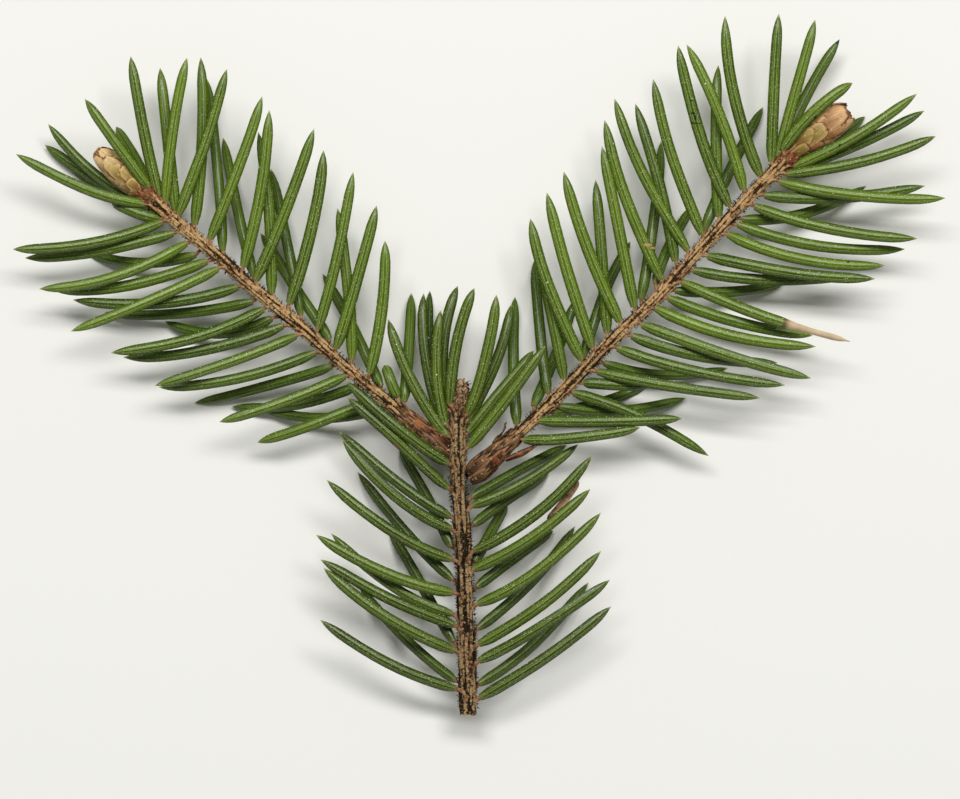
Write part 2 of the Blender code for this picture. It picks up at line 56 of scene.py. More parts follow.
# Each needle: root, middle and tip seen from above, and the layer it lies in
stemNeedles = [
    ((-2.62, -3.5), (-1.97, 2.0), (-0.42, 6.87), "over"),
    ((-2.95, -4.0), (-3.22, 1.8), (-1.9, 7.1), "level"),
    ((-3.0, -5.0), (-4.3, 0.8), (-4.42, 6.73), "under"),
    ((-3.0, -5.4), (-3.8, -0.4), (-3.42, 4.9), "over"),
    ((-3.0, -5.85), (-4.72, 0.2), (-4.97, 6.45), "level"),
    ((-2.85, -6.35), (-6.0, -1.55), (-8.13, 4.1), "over"),
    ((-1.05, -4.4), (0.7, 0.7), (1.55, 6.26), "over"),
    ((-1.0, -4.9), (1.5, 0.3), (2.93, 5.47), "level"),
    ((-1.0, -6.0), (2.1, -2.2), (4.9, 1.3), "level"),
    ((-0.9, -7.3), (2.6, -2.9), (5.93, 1.7), "over"),
    ((-2.8, -8.8), (-7.3, -5.6), (-11.85, -1.45), "top"),
    ((-2.8, -11.0), (-7.3, -6.9), (-11.75, -2.9), "over"),
    ((-2.6, -13.6), (-7.6, -10.3), (-12.5, -6.0), "level"),
    ((-2.5, -14.7), (-7.5, -11.75), (-12.25, -6.6), "over"),
    ((-2.5, -16.3), (-4.6, -12.0), (-7.2, -7.6), "under"),
    ((-2.5, -17.4), (-8.1, -14.7), (-13.6, -10.3), "over"),
    ((-2.4, -19.2), (-6.7, -14.9), (-10.95, -9.6), "under"),
    ((-2.4, -20.4), (-8.4, -18.6), (-14.55, -15.2), "over"),
    ((-2.4, -22.3), (-8.0, -19.7), (-13.25, -15.1), "level"),
    ((-2.2, -23.3), (-8.1, -20.8), (-14.15, -17.4), "over"),
    ((-2.3, -24.8), (-5.3, -19.6), (-8.2, -14.6), "under"),
    ((-2.2, -25.6), (-8.2, -22.6), (-13.9, -18.15), "over"),
    ((-2.1, -28.3), (-6.3, -24.9), (-10.85, -19.85), "under"),
    ((-2.1, -29.0), (-8.2, -26.6), (-14.2, -22.8), "over"),
    ((-0.6, -11.8), (3.6, -9.5), (7.9, -7.2), "under"),
    ((-0.6, -12.6), (4.1, -10.5), (8.9, -7.1), "level"),
    ((-0.5, -14.3), (2.9, -11.9), (6.3, -9.6), "under"),
    ((-0.4, -16.6), (5.0, -13.4), (10.1, -8.1), "over"),
    ((-0.4, -17.6), (1.1, -15.0), (2.5, -12.5), "under"),
    ((-0.5, -18.3), (4.8, -15.35), (9.95, -11.1), "over"),
    ((-0.2, -19.9), (3.4, -17.2), (6.7, -14.9), "under"),
    ((-0.1, -21.4), (5.6, -18.2), (10.9, -13.2), "over"),
    ((-0.1, -23.6), (4.6, -19.6), (8.65, -14.5), "under"),
    ((0.0, -25.0), (5.6, -21.45), (10.9, -16.65), "over"),
    ((0.0, -26.5), (6.0, -23.2), (11.7, -19.2), "over"),
    ((0.0, -28.6), (5.0, -24.95), (9.88, -19.55), "under"),
    ((0.1, -29.8), (6.2, -26.0), (11.8, -21.6), "over"),
]
leftNeedles = [
    ((-29.6, 15.9), (-32.2, 19.5), (-35.2, 23.75), "top"),
    ((-29.1, 15.6), (-31.0, 18.7), (-32.7, 21.5), "under"),
    ((-28.7, 15.2), (-30.05, 21.3), (-31.15, 27.6), "over"),
    ((-28.1, 14.7), (-27.35, 21.2), (-26.1, 27.45), "over"),
    ((-27.2, 13.9), (-27.9, 20.3), (-28.6, 26.65), "level"),
    ((-26.9, 13.5), (-24.5, 20.0), (-22.55, 26.45), "over"),
    ((-25.5, 12.6), (-24.8, 20.1), (-24.95, 27.6), "level"),
    ((-24.1, 11.3), (-21.5, 17.6), (-19.4, 24.0), "over"),
    ((-23.0, 10.2), (-23.5, 18.0), (-24.5, 25.8), "under"),
    ((-21.1, 8.8), (-19.5, 15.8), (-18.75, 22.75), "over"),
    ((-20.2, 8.0), (-21.75, 14.2), (-23.05, 20.5), "under"),
    ((-20.0, 7.6), (-17.1, 14.3), (-14.75, 21.1), "over"),
    ((-18.6, 6.4), (-18.8, 13.6), (-19.8, 20.9), "level"),
    ((-17.0, 5.5), (-14.9, 12.3), (-13.9, 19.2), "over"),
    ((-16.0, 4.5), (-17.2, 11.0), (-18.75, 17.7), "under"),
    ((-14.4, 3.3), (-12.6, 10.2), (-11.25, 17.25), "over"),
    ((-13.4, 2.3), (-16.5, 7.0), (-19.7, 11.9), "under"),
    ((-12.8, 1.5), (-10.8, 7.9), (-9.15, 14.25), "over"),
    ((-11.4, 0.5), (-11.75, 7.3), (-12.7, 14.05), "level"),
    ((-9.8, -0.7), (-8.65, 5.2), (-8.4, 11.1), "over"),
    ((-8.8, -1.9), (-11.2, 3.0), (-14.1, 8.25), "under"),
    ((-7.3, -2.9), (-7.9, -1.4), (-8.5, 0.0), "level"),
    ((-6.75, -3.3), (-6.3, 1.5), (-6.1, 6.5), "under"),
    ((-29.95, 14.4), (-35.5, 15.9), (-41.4, 18.85), "over"),
    ((-30.2, 14.7), (-34.6, 17.25), (-38.7, 21.65), "low"),
    ((-29.6, 14.2), (-34.4, 16.65), (-39.1, 19.85), "low"),
    ((-29.2, 13.7), (-33.2, 15.7), (-36.8, 17.75), "under"),
    ((-28.7, 13.1), (-30.9, 13.7), (-33.0, 14.7), "level"),
    ((-28.4, 12.8), (-35.0, 10.85), (-41.7, 10.35), "over"),
    ((-27.4, 11.8), (-34.1, 10.2), (-40.7, 9.6), "level"),
    ((-26.2, 10.9), (-32.6, 7.9), (-39.3, 6.8), "over"),
    ((-25.4, 9.9), (-30.3, 9.2), (-35.5, 10.2), "under"),
    ((-24.4, 9.3), (-31.2, 7.2), (-38.2, 6.7), "level"),
    ((-23.4, 8.6), (-29.8, 5.6), (-36.5, 3.0), "over"),
    ((-21.6, 7.0), (-29.0, 5.5), (-36.4, 5.85), "level"),
    ((-20.3, 5.7), (-27.0, 4.6), (-33.7, 4.75), "under"),
    ((-19.3, 5.0), (-26.0, 2.3), (-32.9, 1.1), "over"),
    ((-18.6, 4.2), (-23.4, 2.8), (-28.3, 3.95), "under"),
    ((-17.6, 3.5), (-24.6, 1.3), (-31.9, 0.7), "level"),
    ((-16.4, 2.6), (-22.6, 0.15), (-29.0, -1.85), "over"),
    ((-14.7, 1.1), (-21.6, -1.2), (-28.7, -2.0), "level"),
    ((-13.2, -0.1), (-19.3, -2.0), (-25.65, -3.4), "under"),
    ((-12.0, -1.0), (-17.5, -3.3), (-23.2, -5.1), "over"),
    ((-11.0, -1.9), (-16.3, -3.5), (-22.3, -3.75), "under"),
    ((-9.4, -3.2), (-14.6, -5.2), (-19.9, -6.95), "level"),
    ((-8.6, -3.9), (-14.0, -4.7), (-19.8, -3.9), "under"),
]
rightNeedles = [
    ((27.2, 19.3), (29.9, 22.6), (33.38, 25.2), "top"),
    ((27.0, 19.0), (29.3, 24.0), (32.4, 29.27), "low"),
    ((26.8, 18.7), (28.4, 24.6), (30.06, 30.87), "over"),
    ((26.2, 18.2), (26.4, 24.8), (26.82, 31.4), "over"),
    ((25.2, 17.0), (22.9, 23.6), (22.0, 31.2), "over"),
    ((23.7, 15.7), (21.6, 22.2), (18.57, 28.65), "over"),
    ((22.4, 14.3), (19.5, 21.4), (17.8, 28.55), "over"),
    ((21.5, 13.3), (21.2, 20.0), (21.48, 26.9), "level"),
    ((20.2, 12.2), (22.8, 18.0), (25.6, 23.25), "under"),
    ((20.0, 11.7), (17.35, 18.5), (15.57, 25.55), "over"),
    ((18.7, 10.3), (14.75, 17.0), (12.13, 23.8), "over"),
    ((17.6, 9.3), (16.1, 16.2), (14.02, 23.45), "level"),
    ((16.3, 7.7), (13.2, 14.8), (11.24, 21.9), "over"),
    ((15.8, 7.3), (17.3, 11.1), (19.2, 14.2), "under"),
    ((14.5, 5.9), (15.75, 13.0), (16.4, 20.2), "under"),
    ((13.9, 5.2), (12.45, 12.4), (11.0, 19.55), "over"),
    ((12.6, 3.9), (9.75, 10.3), (7.58, 17.27), "over"),
    ((11.5, 2.9), (11.0, 9.6), (10.45, 16.6), "level"),
    ((10.1, 1.6), (7.95, 8.3), (6.07, 15.4), "over"),
    ((9.4, 0.9), (11.3, 6.4), (13.65, 11.15), "under"),
    ((9.2, 0.5), (6.35, 6.7), (4.6, 13.1), "over"),
    ((7.6, -1.2), (6.6, 4.0), (5.4, 9.4), "level"),
    ((6.2, -2.5), (5.4, 3.4), (5.0, 9.5), "under"),
    ((4.9, -3.7), (6.9, 1.0), (8.7, 6.0), "under"),
    ((3.4, -5.3), (3.1, 0.4), (3.25, 6.17), "under"),
    ((28.6, 18.2), (31.7, 20.1), (34.8, 22.42), "under"),
    ((28.2, 17.8), (33.4, 20.3), (39.15, 24.24), "over"),
    ((28.0, 17.5), (34.0, 19.8), (39.93, 22.8), "level"),
    ((27.6, 17.1), (34.6, 18.3), (40.85, 20.46), "over"),
    ((27.0, 16.4), (34.2, 15.05), (41.7, 14.92), "over"),
    ((25.6, 15.2), (32.5, 15.0), (40.0, 16.07), "level"),
    ((24.7, 14.2), (31.7, 12.1), (39.2, 11.3), "over"),
    ((23.6, 13.1), (29.2, 13.6), (34.9, 16.15), "under"),
    ((23.2, 12.6), (30.6, 10.65), (38.2, 10.4), "level"),
    ((22.3, 11.7), (29.0, 9.4), (36.3, 8.9), "over"),
    ((20.5, 9.75), (27.8, 8.3), (35.4, 7.7), "over"),
    ((19.2, 8.5), (26.5, 7.6), (34.0, 8.15), "level"),
    ((18.2, 7.4), (25.4, 4.4), (33.15, 2.1), "over"),
    ((17.6, 6.7), (22.8, 6.6), (27.5, 7.4), "under"),
    ((17.0, 6.0), (23.4, 3.75), (29.95, 2.65), "level"),
    ((15.8, 5.1), (22.6, 2.6), (30.1, 1.65), "over"),
    ((14.6, 3.6), (22.0, 0.95), (29.7, -1.2), "over"),
    ((13.7, 2.6), (20.0, 0.75), (26.8, 0.2), "level"),
    ((12.4, 1.5), (19.6, -0.65), (27.35, -1.8), "over"),
    ((11.2, 0.2), (16.4, -0.9), (22.4, -0.25), "under"),
    ((10.6, -0.6), (17.8, -2.0), (25.1, -2.95), "over"),
    ((9.4, -1.6), (12.2, -1.75), (15.3, -1.9), "level"),
    ((8.45, -2.5), (14.2, -4.6), (20.6, -8.15), "level"),
    ((7.2, -3.7), (12.8, -4.1), (18.66, -2.97), "under"),
    ((6.6, -4.3), (11.2, -3.3), (15.4, -1.6), "under"),
    ((5.4, -5.0), (11.8, -5.05), (18.15, -4.78), "over"),
    ((4.0, -6.7), (9.2, -6.5), (14.4, -5.6), "over"),
]

layers = ["top", "over", "level", "low", "under"]
needleForm = {
    "halfWidth": {"mainStem": 0.53, "leftShoot": 0.53, "rightShoot": 0.54},
    "solidHalfWidth": {"mainStem": 0.54, "leftShoot": 0.53, "rightShoot": 0.54},    # for settle alone
    "halfThickness": 0.36,
    "layerWidth": {"top": 1.0, "over": 1.0, "level": 0.97, "low": 0.95, "under": 0.92},
    "layerHeight": {"top": (0.95, 2.3, 2.3), "over": (0.35, 1.55, 1.75), "level": (0.0, 0.1, -0.5),
                    "low": (-0.6, -1.5, -1.9), "under": (-0.35, -1.9, -3.9)},
    # painted shade: how far each layer's needles are darkened for lying under the others
    "layerPaintedShade": {"top": 0.0, "over": 0.0, "level": 0.35, "low": 0.5, "under": 0.8},
    "solidProfile": [(0.0, 0.5), (0.13, 0.94), (0.5, 1.0), (0.87, 0.72), (1.0, 0.0)],
    "heightSpread": 0.22,       # how far single needles stand higher or lower
    "spreadTurn": 2.4,
    "crossingGap": 0.3,         # kept between needles that cross
    "crossingSamples": 20,
    "rootZone": 0.16,           # share at the root where crossings don't count
    "sides": 8,
    "rings": 16,
    "bulge": 1.13,      # how far the four facets swell past flat
    "twist": 0.26,      # the needles that point aside turn a facet up
    "tilt": 0.1,        # this and the next four: how single needles differ
    "wobble": 0.07,
    "waves": 5,
    "widthSpread": (0.95, 1.04),
    "thicknessSpread": (0.92, 1.0),
    "footWidth": (0.55, 0.45),      # share of the width on the peg, and what it gains over footSpan
    "footSpan": (-0.02, 0.09),
    "slimming": 0.07,
    "slimmingSpan": (0.4, 0.8),
    "pointStart": 0.77,
    "pointLength": 0.23,
    "tipWidth": 0.03,
    "lookAround": 0.03,     # share of the length over which a direction is taken
    "crowding": 0.1,        # rings stand closer at both ends
    "weld": 0.012,
}
twigForm = {"height": 4.2, "forkHeight": 3.8, "forkRise": 9.0, "sides": 40, "step": 0.3, "lookAround": 0.5,
            "lumps": [(0.035, 5, 0.5), (0.02, 9, -1.7)]}    # size, turns round the twig, turns along it


# Shader maths as plain expressions: a Link is one socket, a Paint is one material
class Link:
    def __init__(self, paint, socket):
        self.paint = paint
        self.socket = socket

    def reckon(self, operation, first, second=0.0, clamp=False):
        return self.paint.node("ShaderNodeMath", {"operation": operation, "use_clamp": clamp},
                               {0: first, 1: second})

    def __add__(self, other):
        return self.reckon("ADD", self, other)

    def __sub__(self, other):
        return self.reckon("SUBTRACT", self, other)

    def __rsub__(self, other):
        return self.reckon("SUBTRACT", other, self)

    def __mul__(self, other):
        return self.reckon("MULTIPLY", self, other)

    __radd__ = __add__
    __rmul__ = __mul__

    def size(self):
        return self.reckon("ABSOLUTE", self)

    def least(self, other):
        return self.reckon("MINIMUM", self, other)

    def most(self, other):
        return self.reckon("MAXIMUM", self, other)

    def between(self, low, high):       # 0 below low, 1 above high
        return self.reckon("MULTIPLY", self - low, 1.0 / (high - low), clamp=True)


class Paint:
    def __init__(self, name, **settings):
        self.material = bpy.data.materials.new(name)
        self.material.use_nodes = True
        self.tree = self.material.node_tree
        self.shader = self.tree.nodes["Principled BSDF"]
        for socket, value in settings.items():
            self.shader.inputs[socket.replace("_", " ")].default_value = value

    def node(self, kind, settings=None, values=None, out=0):
        made = self.tree.nodes.new(kind)
        for key, value in (settings or {}).items():
            setattr(made, key, value)
        for key, value in (values or {}).items():
            if isinstance(value, Link):
                self.tree.links.new(value.socket, made.inputs[key])
            else:
                made.inputs[key].default_value = value
        return Link(self, made.outputs[out])

    def read(self, *names):     # what the meshes note at each vertex
        return [self.node("ShaderNodeAttribute", {"attribute_name": name}, out=2) for name in names]

    def place(self):
        return self.node("ShaderNodeTexCoord", out=3)

    def stretch(self, scales, *links):      # three links as one vector, each times its own scale
        parts = [link * scale for link, scale in zip(links, scales)]
        return self.node("ShaderNodeCombineXYZ", None, dict(enumerate(parts)))

    def noise(self, vector, scale, detail=3.0, roughness=0.5):
        return self.node("ShaderNodeTexNoise", None,
                         {"Vector": vector, "Scale": scale, "Detail": detail, "Roughness": roughness})

    def blend(self, mask, low, high):
        return self.node("ShaderNodeMix", {"data_type": "RGBA"}, {0: mask, 6: low, 7: high}, out=2)

    def feed(self, socket, link):
        self.tree.links.new(link.socket, self.shader.inputs[socket])

    def bump(self, height, strength, distance):
        self.feed("Normal", self.node("ShaderNodeBump", None, {"Height": height, "Strength": strength,
                                                               "Distance": distance}))


def shade(red, green, blue):        # a colour as the eye sees it, 0 to 255, made into light values
    values = [((c / 255 + 0.055) / 1.055) ** 2.4 for c in (red, green, blue)]
    return (*values, 1.0)


spotLook = {"grain": 5000.0, "ragged": 1.2, "edge": (0.7, 1.0), "strength": 0.92}


def spotMask(paint, place, x, y, wide, tall):       # 1 inside a ragged spot, seen from above
    apart = paint.node("ShaderNodeVectorMath", {"operation": "SUBTRACT"},
                       {0: place, 1: (x * mm, y * mm, 0.0)})
    flat = paint.node("ShaderNodeVectorMath", {"operation": "MULTIPLY"},
                      {0: apart, 1: (1 / (wide * mm), 1 / (tall * mm), 0.0)})
    reach = paint.node("ShaderNodeVectorMath", {"operation": "LENGTH"}, {0: flat}, out=1)
    ragged = reach + (paint.noise(place, spotLook["grain"], 1.0) - 0.5) * spotLook["ragged"]
    return 1 - ragged.between(*spotLook["edge"])


# Specks and scars on single needles: x, y, half width, half height, colour
whiteFleck, blackFleck, scarBrown = shade(235, 238, 230), shade(22, 22, 18), shade(186, 150, 96)
stemSpots = [(-3.8, -0.87, 0.07, 0.07, whiteFleck), (-4.5, 2.45, 0.06, 0.06, whiteFleck),
             (-7.4, 1.85, 0.07, 0.07, whiteFleck), (2.1, -3.95, 0.07, 0.07, whiteFleck),
             (2.95, -18.9, 0.12, 0.12, blackFleck), (-7.5, -7.35, 0.4, 0.3, shade(120, 82, 50))]
leftSpots = [(-20.5, 1.5, 0.45, 0.3, shade(96, 84, 60)), (-27.05, 16.6, 0.06, 0.06, whiteFleck),
             (-31.9, 5.9, 0.13, 0.13, blackFleck)]
rightSpots = [(15.1, 10.75, 0.46, 0.17, scarBrown), (15.6, 10.5, 0.36, 0.14, scarBrown),
              (19.0, 23.63, 0.12, 0.12, blackFleck), (19.15, 22.5, 0.2, 0.13, blackFleck),
              (19.35, 22.1, 0.12, 0.26, blackFleck), (19.4, 21.62, 0.66, 0.07, blackFleck),
              (30.05, 22.1, 0.15, 0.15, blackFleck), (32.25, 19.65, 0.16, 0.16, blackFleck),
              (33.0, 9.2, 0.16, 0.12, shade(60, 50, 30)), (8.1, 14.3, 0.12, 0.1, scarBrown),
              (20.25, 25.15, 0.07, 0.07, whiteFleck), (8.3, 5.0, 0.06, 0.06, whiteFleck),
              (6.12, 7.4, 0.06, 0.06, whiteFleck), (32.25, 29.0, 0.3, 0.24, blackFleck)]


needleLook = {
    "ior": 1.33, "roughness": 0.17, "dryRoughness": 0.4, "bump": (0.2, 0.00004),
    "cloudScale": 260.0, "streaks": (9, 6, 40), "dots": (150, 9, 60), "dotEdge": (0.42, 0.6),
    "nearLine": 0.34, "nearEdge": (0.04, 0.13), "farLine": 0.66, "farEdge": (0.03, 0.1), "lineStrength": 0.6,
    "ridge": (0.03, 0.14), "ridgeStrength": 0.4,
    # rim: painted shade that darkens both side edges of each needle
    "rim": (0.8, 0.98), "edgeShadeStrength": 0.6, "edgeShadeTint": shade(30, 48, 0),
    "lowShadeStrength": 0.65,        # painted shade: how much darker the lowest layers are, for lying under the others
    "sparkleScale": 8500.0, "sparkle": (0.66, 0.72), "sparkleStrength": 0.7,
    "sparkleTint": shade(214, 224, 180),
    "foot": (0.0, 0.05), "footStrength": 0.45, "footTint": shade(134, 130, 70),
    "tip": (0.972, 0.992), "tipStrength": 0.7, "tipTint": shade(178, 170, 104),
    "strawScale": 900.0, "strawTints": (shade(168, 140, 104), shade(222, 200, 166)),
    "strawRimTint": shade(104, 90, 46), "strawRim": (0.05, 0.2), "straw": (0.22, 0.45),
}


def needlePaint(name, deep, plain, band, spots):
    look = needleLook
    paint = Paint(name, IOR=look["ior"])
    place = paint.place()
    along, side, own, dry, low = paint.read("along", "side", "own", "dry", "low")
    cloud = paint.noise(place, look["cloudScale"], 2.0)
    streak = paint.noise(paint.stretch(look["streaks"], along, side, own), 1.0, 4.0, 0.6)
    body = paint.blend((own * 0.5 + cloud * 0.6 + streak * 0.9 - 0.5).between(0.0, 1.0), deep, plain)
    # pale dotted lines of breathing pores, two on each facet, with a dark line on the ridge between
    dots = paint.noise(paint.stretch(look["dots"], along, side, own), 1.0, 1.0).between(*look["dotEdge"])
    nearLine = 1 - (side.size() - look["nearLine"]).size().between(*look["nearEdge"])
    farLine = 1 - (side.size() - look["farLine"]).size().between(*look["farEdge"])
    lines = (nearLine + farLine * 0.7).least(1.0) * (0.3 + dots * 0.7)
    body = paint.blend(lines * look["lineStrength"], body, band)
    body = paint.blend((1 - side.size().between(*look["ridge"])) * look["ridgeStrength"], body, deep)
    # painted shade along both side edges of each needle
    body = paint.blend(side.size().between(*look["rim"]) * look["edgeShadeStrength"], body, look["edgeShadeTint"])
    # painted shade on the needles that lie lower, under the others
    body = paint.blend(low * look["lowShadeStrength"], body, deep)
    # painted glints: small pale sparkles, fewer on the lower layers that lie in shade
    sparkle = paint.noise(place, look["sparkleScale"], 1.0).between(*look["sparkle"]) * (1 - low * 0.7)
    body = paint.blend(sparkle * look["sparkleStrength"], body, look["sparkleTint"])
    body = paint.blend((1 - along.between(*look["foot"])) * look["footStrength"], body, look["footTint"])
    body = paint.blend(along.between(*look["tip"]) * look["tipStrength"], body, look["tipTint"])
    straw = paint.blend(paint.noise(place, look["strawScale"]), *look["strawTints"])
    body = paint.blend(dry.between(*look["strawRim"]), body, look["strawRimTint"])
    body = paint.blend(dry.between(*look["straw"]), body, straw)
    for *spot, tint in spots:
        body = paint.blend(spotMask(paint, place, *spot) * spotLook["strength"], body, tint)
    paint.feed("Base Color", body)
    paint.feed("Roughness", look["roughness"] + dots * 0.06 + streak * 0.1 + dry * look["dryRoughness"])
    paint.bump(lines * (0.5 + dots * 0.5) + streak * 0.5, *look["bump"])
    return paint.material


barkLook = {
    "ior": 1.25, "roughness": (0.7, 0.25), "bump": (0.9, 0.00008),
    "fibres": (1.6, 3.2, 2), "grainScale": 3400.0, "fleckScale": 6000.0, "patchScale": 420.0,
    "fibreEdge": (0.25, 0.6), "patch": (0.5, 0.68), "patchStrength": 0.4, "patchTint": shade(146, 92, 62),
    "sootAndGrooveShade": (0.8, 0.95), "sootAndGrooveShadeStrength": 0.95,
    "fleck": (0.65, 0.7), "fleckStrength": 0.7, "highlightFleckTint": shade(226, 200, 164),
    "pegGrain": (0.42, 0.66), "pegStrength": 0.85, "pegShade": shade(100, 60, 36),
    "woodGrain": (0.3, 0.7), "woodTints": (shade(170, 132, 88), shade(222, 194, 152)),
}


def barkPaint(name, ridge, ridgePaleAndHighlight, dark, pegTint, sootiness):
    look = barkLook
    paint = Paint(name, IOR=look["ior"])
    place = paint.place()
    along, around, raised, peg, cut = paint.read("along", "side", "raised", "peg", "cut")
    fibre = paint.noise(paint.stretch(look["fibres"], along, around, raised), 1.0, 4.0, 0.6)
    grain = paint.noise(place, look["grainScale"], 3.0, 0.6)
    fleck = paint.noise(place, look["fleckScale"], 1.0)
    patch = paint.noise(place, look["patchScale"], 2.0)
    # pale fibre streaks, and a painted highlight on the crests of the leaf cushions (raised)
    body = paint.blend((fibre * 0.7 + raised * 0.4 - 0.1).between(*look["fibreEdge"]), ridge, ridgePaleAndHighlight)
    body = paint.blend(patch.between(*look["patch"]) * look["patchStrength"], body, look["patchTint"])
    # dark specks, plus painted shade on the cushions' flanks and in the grooves between them (1 - raised)
    sootAndGrooveShade = (grain + patch * 0.4 + (1 - raised) * 0.3 + sootiness).between(*look["sootAndGrooveShade"])
    body = paint.blend(sootAndGrooveShade * look["sootAndGrooveShadeStrength"], body, dark)
    # painted highlights: small pale flecks over the bark
    body = paint.blend(fleck.between(*look["fleck"]) * look["fleckStrength"], body, look["highlightFleckTint"])
    hook = paint.blend(grain.between(*look["pegGrain"]), pegTint, look["pegShade"])
    body = paint.blend(peg * look["pegStrength"], body, hook)
    wood = paint.blend(grain.between(*look["woodGrain"]), *look["woodTints"])
    body = paint.blend(cut, body, wood)
    paint.feed("Base Color", body)
    paint.feed("Roughness", look["roughness"][0] + grain * look["roughness"][1])
    paint.bump(fibre * 0.6 + grain * 0.8, *look["bump"])
    return paint.material


scaleLook = {
    "ior": 1.3, "roughnessGrain": 0.25, "bump": (0.6, 0.00005),
    "fibres": (2, 8, 30), "grainScale": 2600.0, "cloudScale": 700.0, "blotchScale": 1500.0,
    "fleckScale": 5200.0,
    "rootEdge": (0.08, 0.42), "tipEdge": (0.3, 0.8), "oddEdge": (0.2, 0.8), "oddStrength": 0.75,
    "foot": (0.3, 0.62), "footStrength": 0.6, "blotch": (0.5, 0.6),
    "fibreEdge": (0.44, 0.66), "fibreStrength": 0.5,
    "paleRim": (0.35, 0.65), "paleStrength": 0.4, "darkRim": (0.74, 0.86),
    "specks": (0.6, 0.68), "fleck": (0.66, 0.71), "fleckStrength": 0.6,
}


def scalePaint(name, tints, roughness):
    # papery scales: dark at the shoot's end, paler outwards, with a thin dark rim and fine lines along them
    look = scaleLook
    paint = Paint(name, IOR=look["ior"])
    place = paint.place()
    along, side, own, far = paint.read("along", "side", "own", "raised")
    fibre = paint.noise(paint.stretch(look["fibres"], along, side, own), 1.0, 4.0, 0.6)
    grain = paint.noise(place, look["grainScale"], 3.0, 0.6)
    cloud = paint.noise(place, look["cloudScale"], 2.0)
    body = paint.blend((far + cloud * 0.5 - 0.25).between(*look["rootEdge"]), tints["root"], tints["middle"])
    body = paint.blend((far + own * 0.5 - 0.3).between(*look["tipEdge"]), body, tints["tip"])
    odd = (own * 2.6 - 1.5 + cloud * 0.9).between(*look["oddEdge"])
    body = paint.blend(odd * look["oddStrength"], body, tints["odd"])
    body = paint.blend((1 - along.between(*look["foot"])) * look["footStrength"], body, tints["root"])
    blotch = paint.noise(place, look["blotchScale"], 3.0, 0.6).between(*look["blotch"])
    body = paint.blend(blotch * tints["blotch"], body, tints["rim"])
    body = paint.blend(fibre.between(*look["fibreEdge"]) * look["fibreStrength"], body, tints["root"])
    edge = side.size().most(along * 2.2 - 1.24) + (grain - 0.5) * 0.15
    body = paint.blend(edge.between(*look["paleRim"]) * look["paleStrength"], body, tints["tip"])
    body = paint.blend(edge.between(*look["darkRim"]) * tints["edge"], body, tints["rim"])
    body = paint.blend(grain.between(*look["specks"]) * tints["specks"], body, tints["rim"])
    fleck = paint.noise(place, look["fleckScale"], 1.0)
    body = paint.blend(fleck.between(*look["fleck"]) * look["fleckStrength"], body, tints["fleck"])
    paint.feed("Base Color", body)
    paint.feed("Roughness", roughness + grain * look["roughnessGrain"])
    paint.bump(fibre * 0.6 + grain * 0.5, *look["bump"])
    return paint.material


fragmentLook = {
    "ior": 1.45, "roughness": (0.5, 0.3), "grainScale": 1500.0, "speckScale": 3200.0,
    "grain": (0.4, 0.62), "tints": (shade(138, 102, 74), shade(188, 150, 116)),
    "specks": (0.64, 0.68), "darkFoot": (0.1, 0.16), "darkStrength": 0.9,
}


def fragmentPaint(name):
    look = fragmentLook
    paint = Paint(name, IOR=look["ior"])
    place = paint.place()
    along, = paint.read("along")
    grain = paint.noise(place, look["grainScale"])
    body = paint.blend(grain.between(*look["grain"]), *look["tints"])
    specks = paint.noise(place, look["speckScale"], 1.0).between(*look["specks"])
    body = paint.blend(specks * look["darkStrength"], body, blackFleck)
    foot = 1 - (along + grain * 0.1).between(*look["darkFoot"])
    body = paint.blend(foot * look["darkStrength"], body, blackFleck)
    paint.feed("Base Color", body)
    paint.feed("Roughness", look["roughness"][0] + grain * look["roughness"][1])
    return paint.material


print("spruce branch: mixing the finishes")
sleeveTints = {"root": shade(44, 22, 4), "middle": shade(138, 76, 36), "tip": shade(186, 132, 88),
               "odd": shade(120, 98, 64), "rim": shade(12, 4, 0), "fleck": shade(216, 184, 150),
               "specks": 0.95, "edge": 0.95, "blotch": 0.75}
collarTints = {"root": shade(88, 42, 22), "middle": shade(138, 76, 42), "tip": shade(172, 106, 66),
               "odd": shade(160, 120, 76), "rim": shade(72, 40, 20), "fleck": shade(236, 206, 170),
               "specks": 0.6, "edge": 0.6, "blotch": 0.5}
leftBudTints = {"root": shade(126, 84, 40), "middle": shade(184, 160, 88), "tip": shade(232, 198, 142),
                "odd": shade(154, 156, 66), "rim": shade(112, 66, 30), "fleck": shade(244, 222, 176),
                "specks": 0.25, "edge": 0.9, "blotch": 0.06}
rightBudTints = {"root": shade(122, 74, 36), "middle": shade(186, 136, 82), "tip": shade(226, 182, 130),
                 "odd": shade(146, 140, 62), "rim": shade(98, 58, 26), "fleck": shade(240, 214, 166),
                 "specks": 0.3, "edge": 0.9, "blotch": 0.1}
leaderTints = {"root": shade(80, 56, 26), "middle": shade(150, 112, 72), "tip": shade(206, 166, 124),
               "odd": shade(104, 74, 46), "rim": shade(34, 22, 8), "fleck": shade(196, 170, 140),
               "specks": 0.9, "edge": 0.9, "blotch": 0.4}
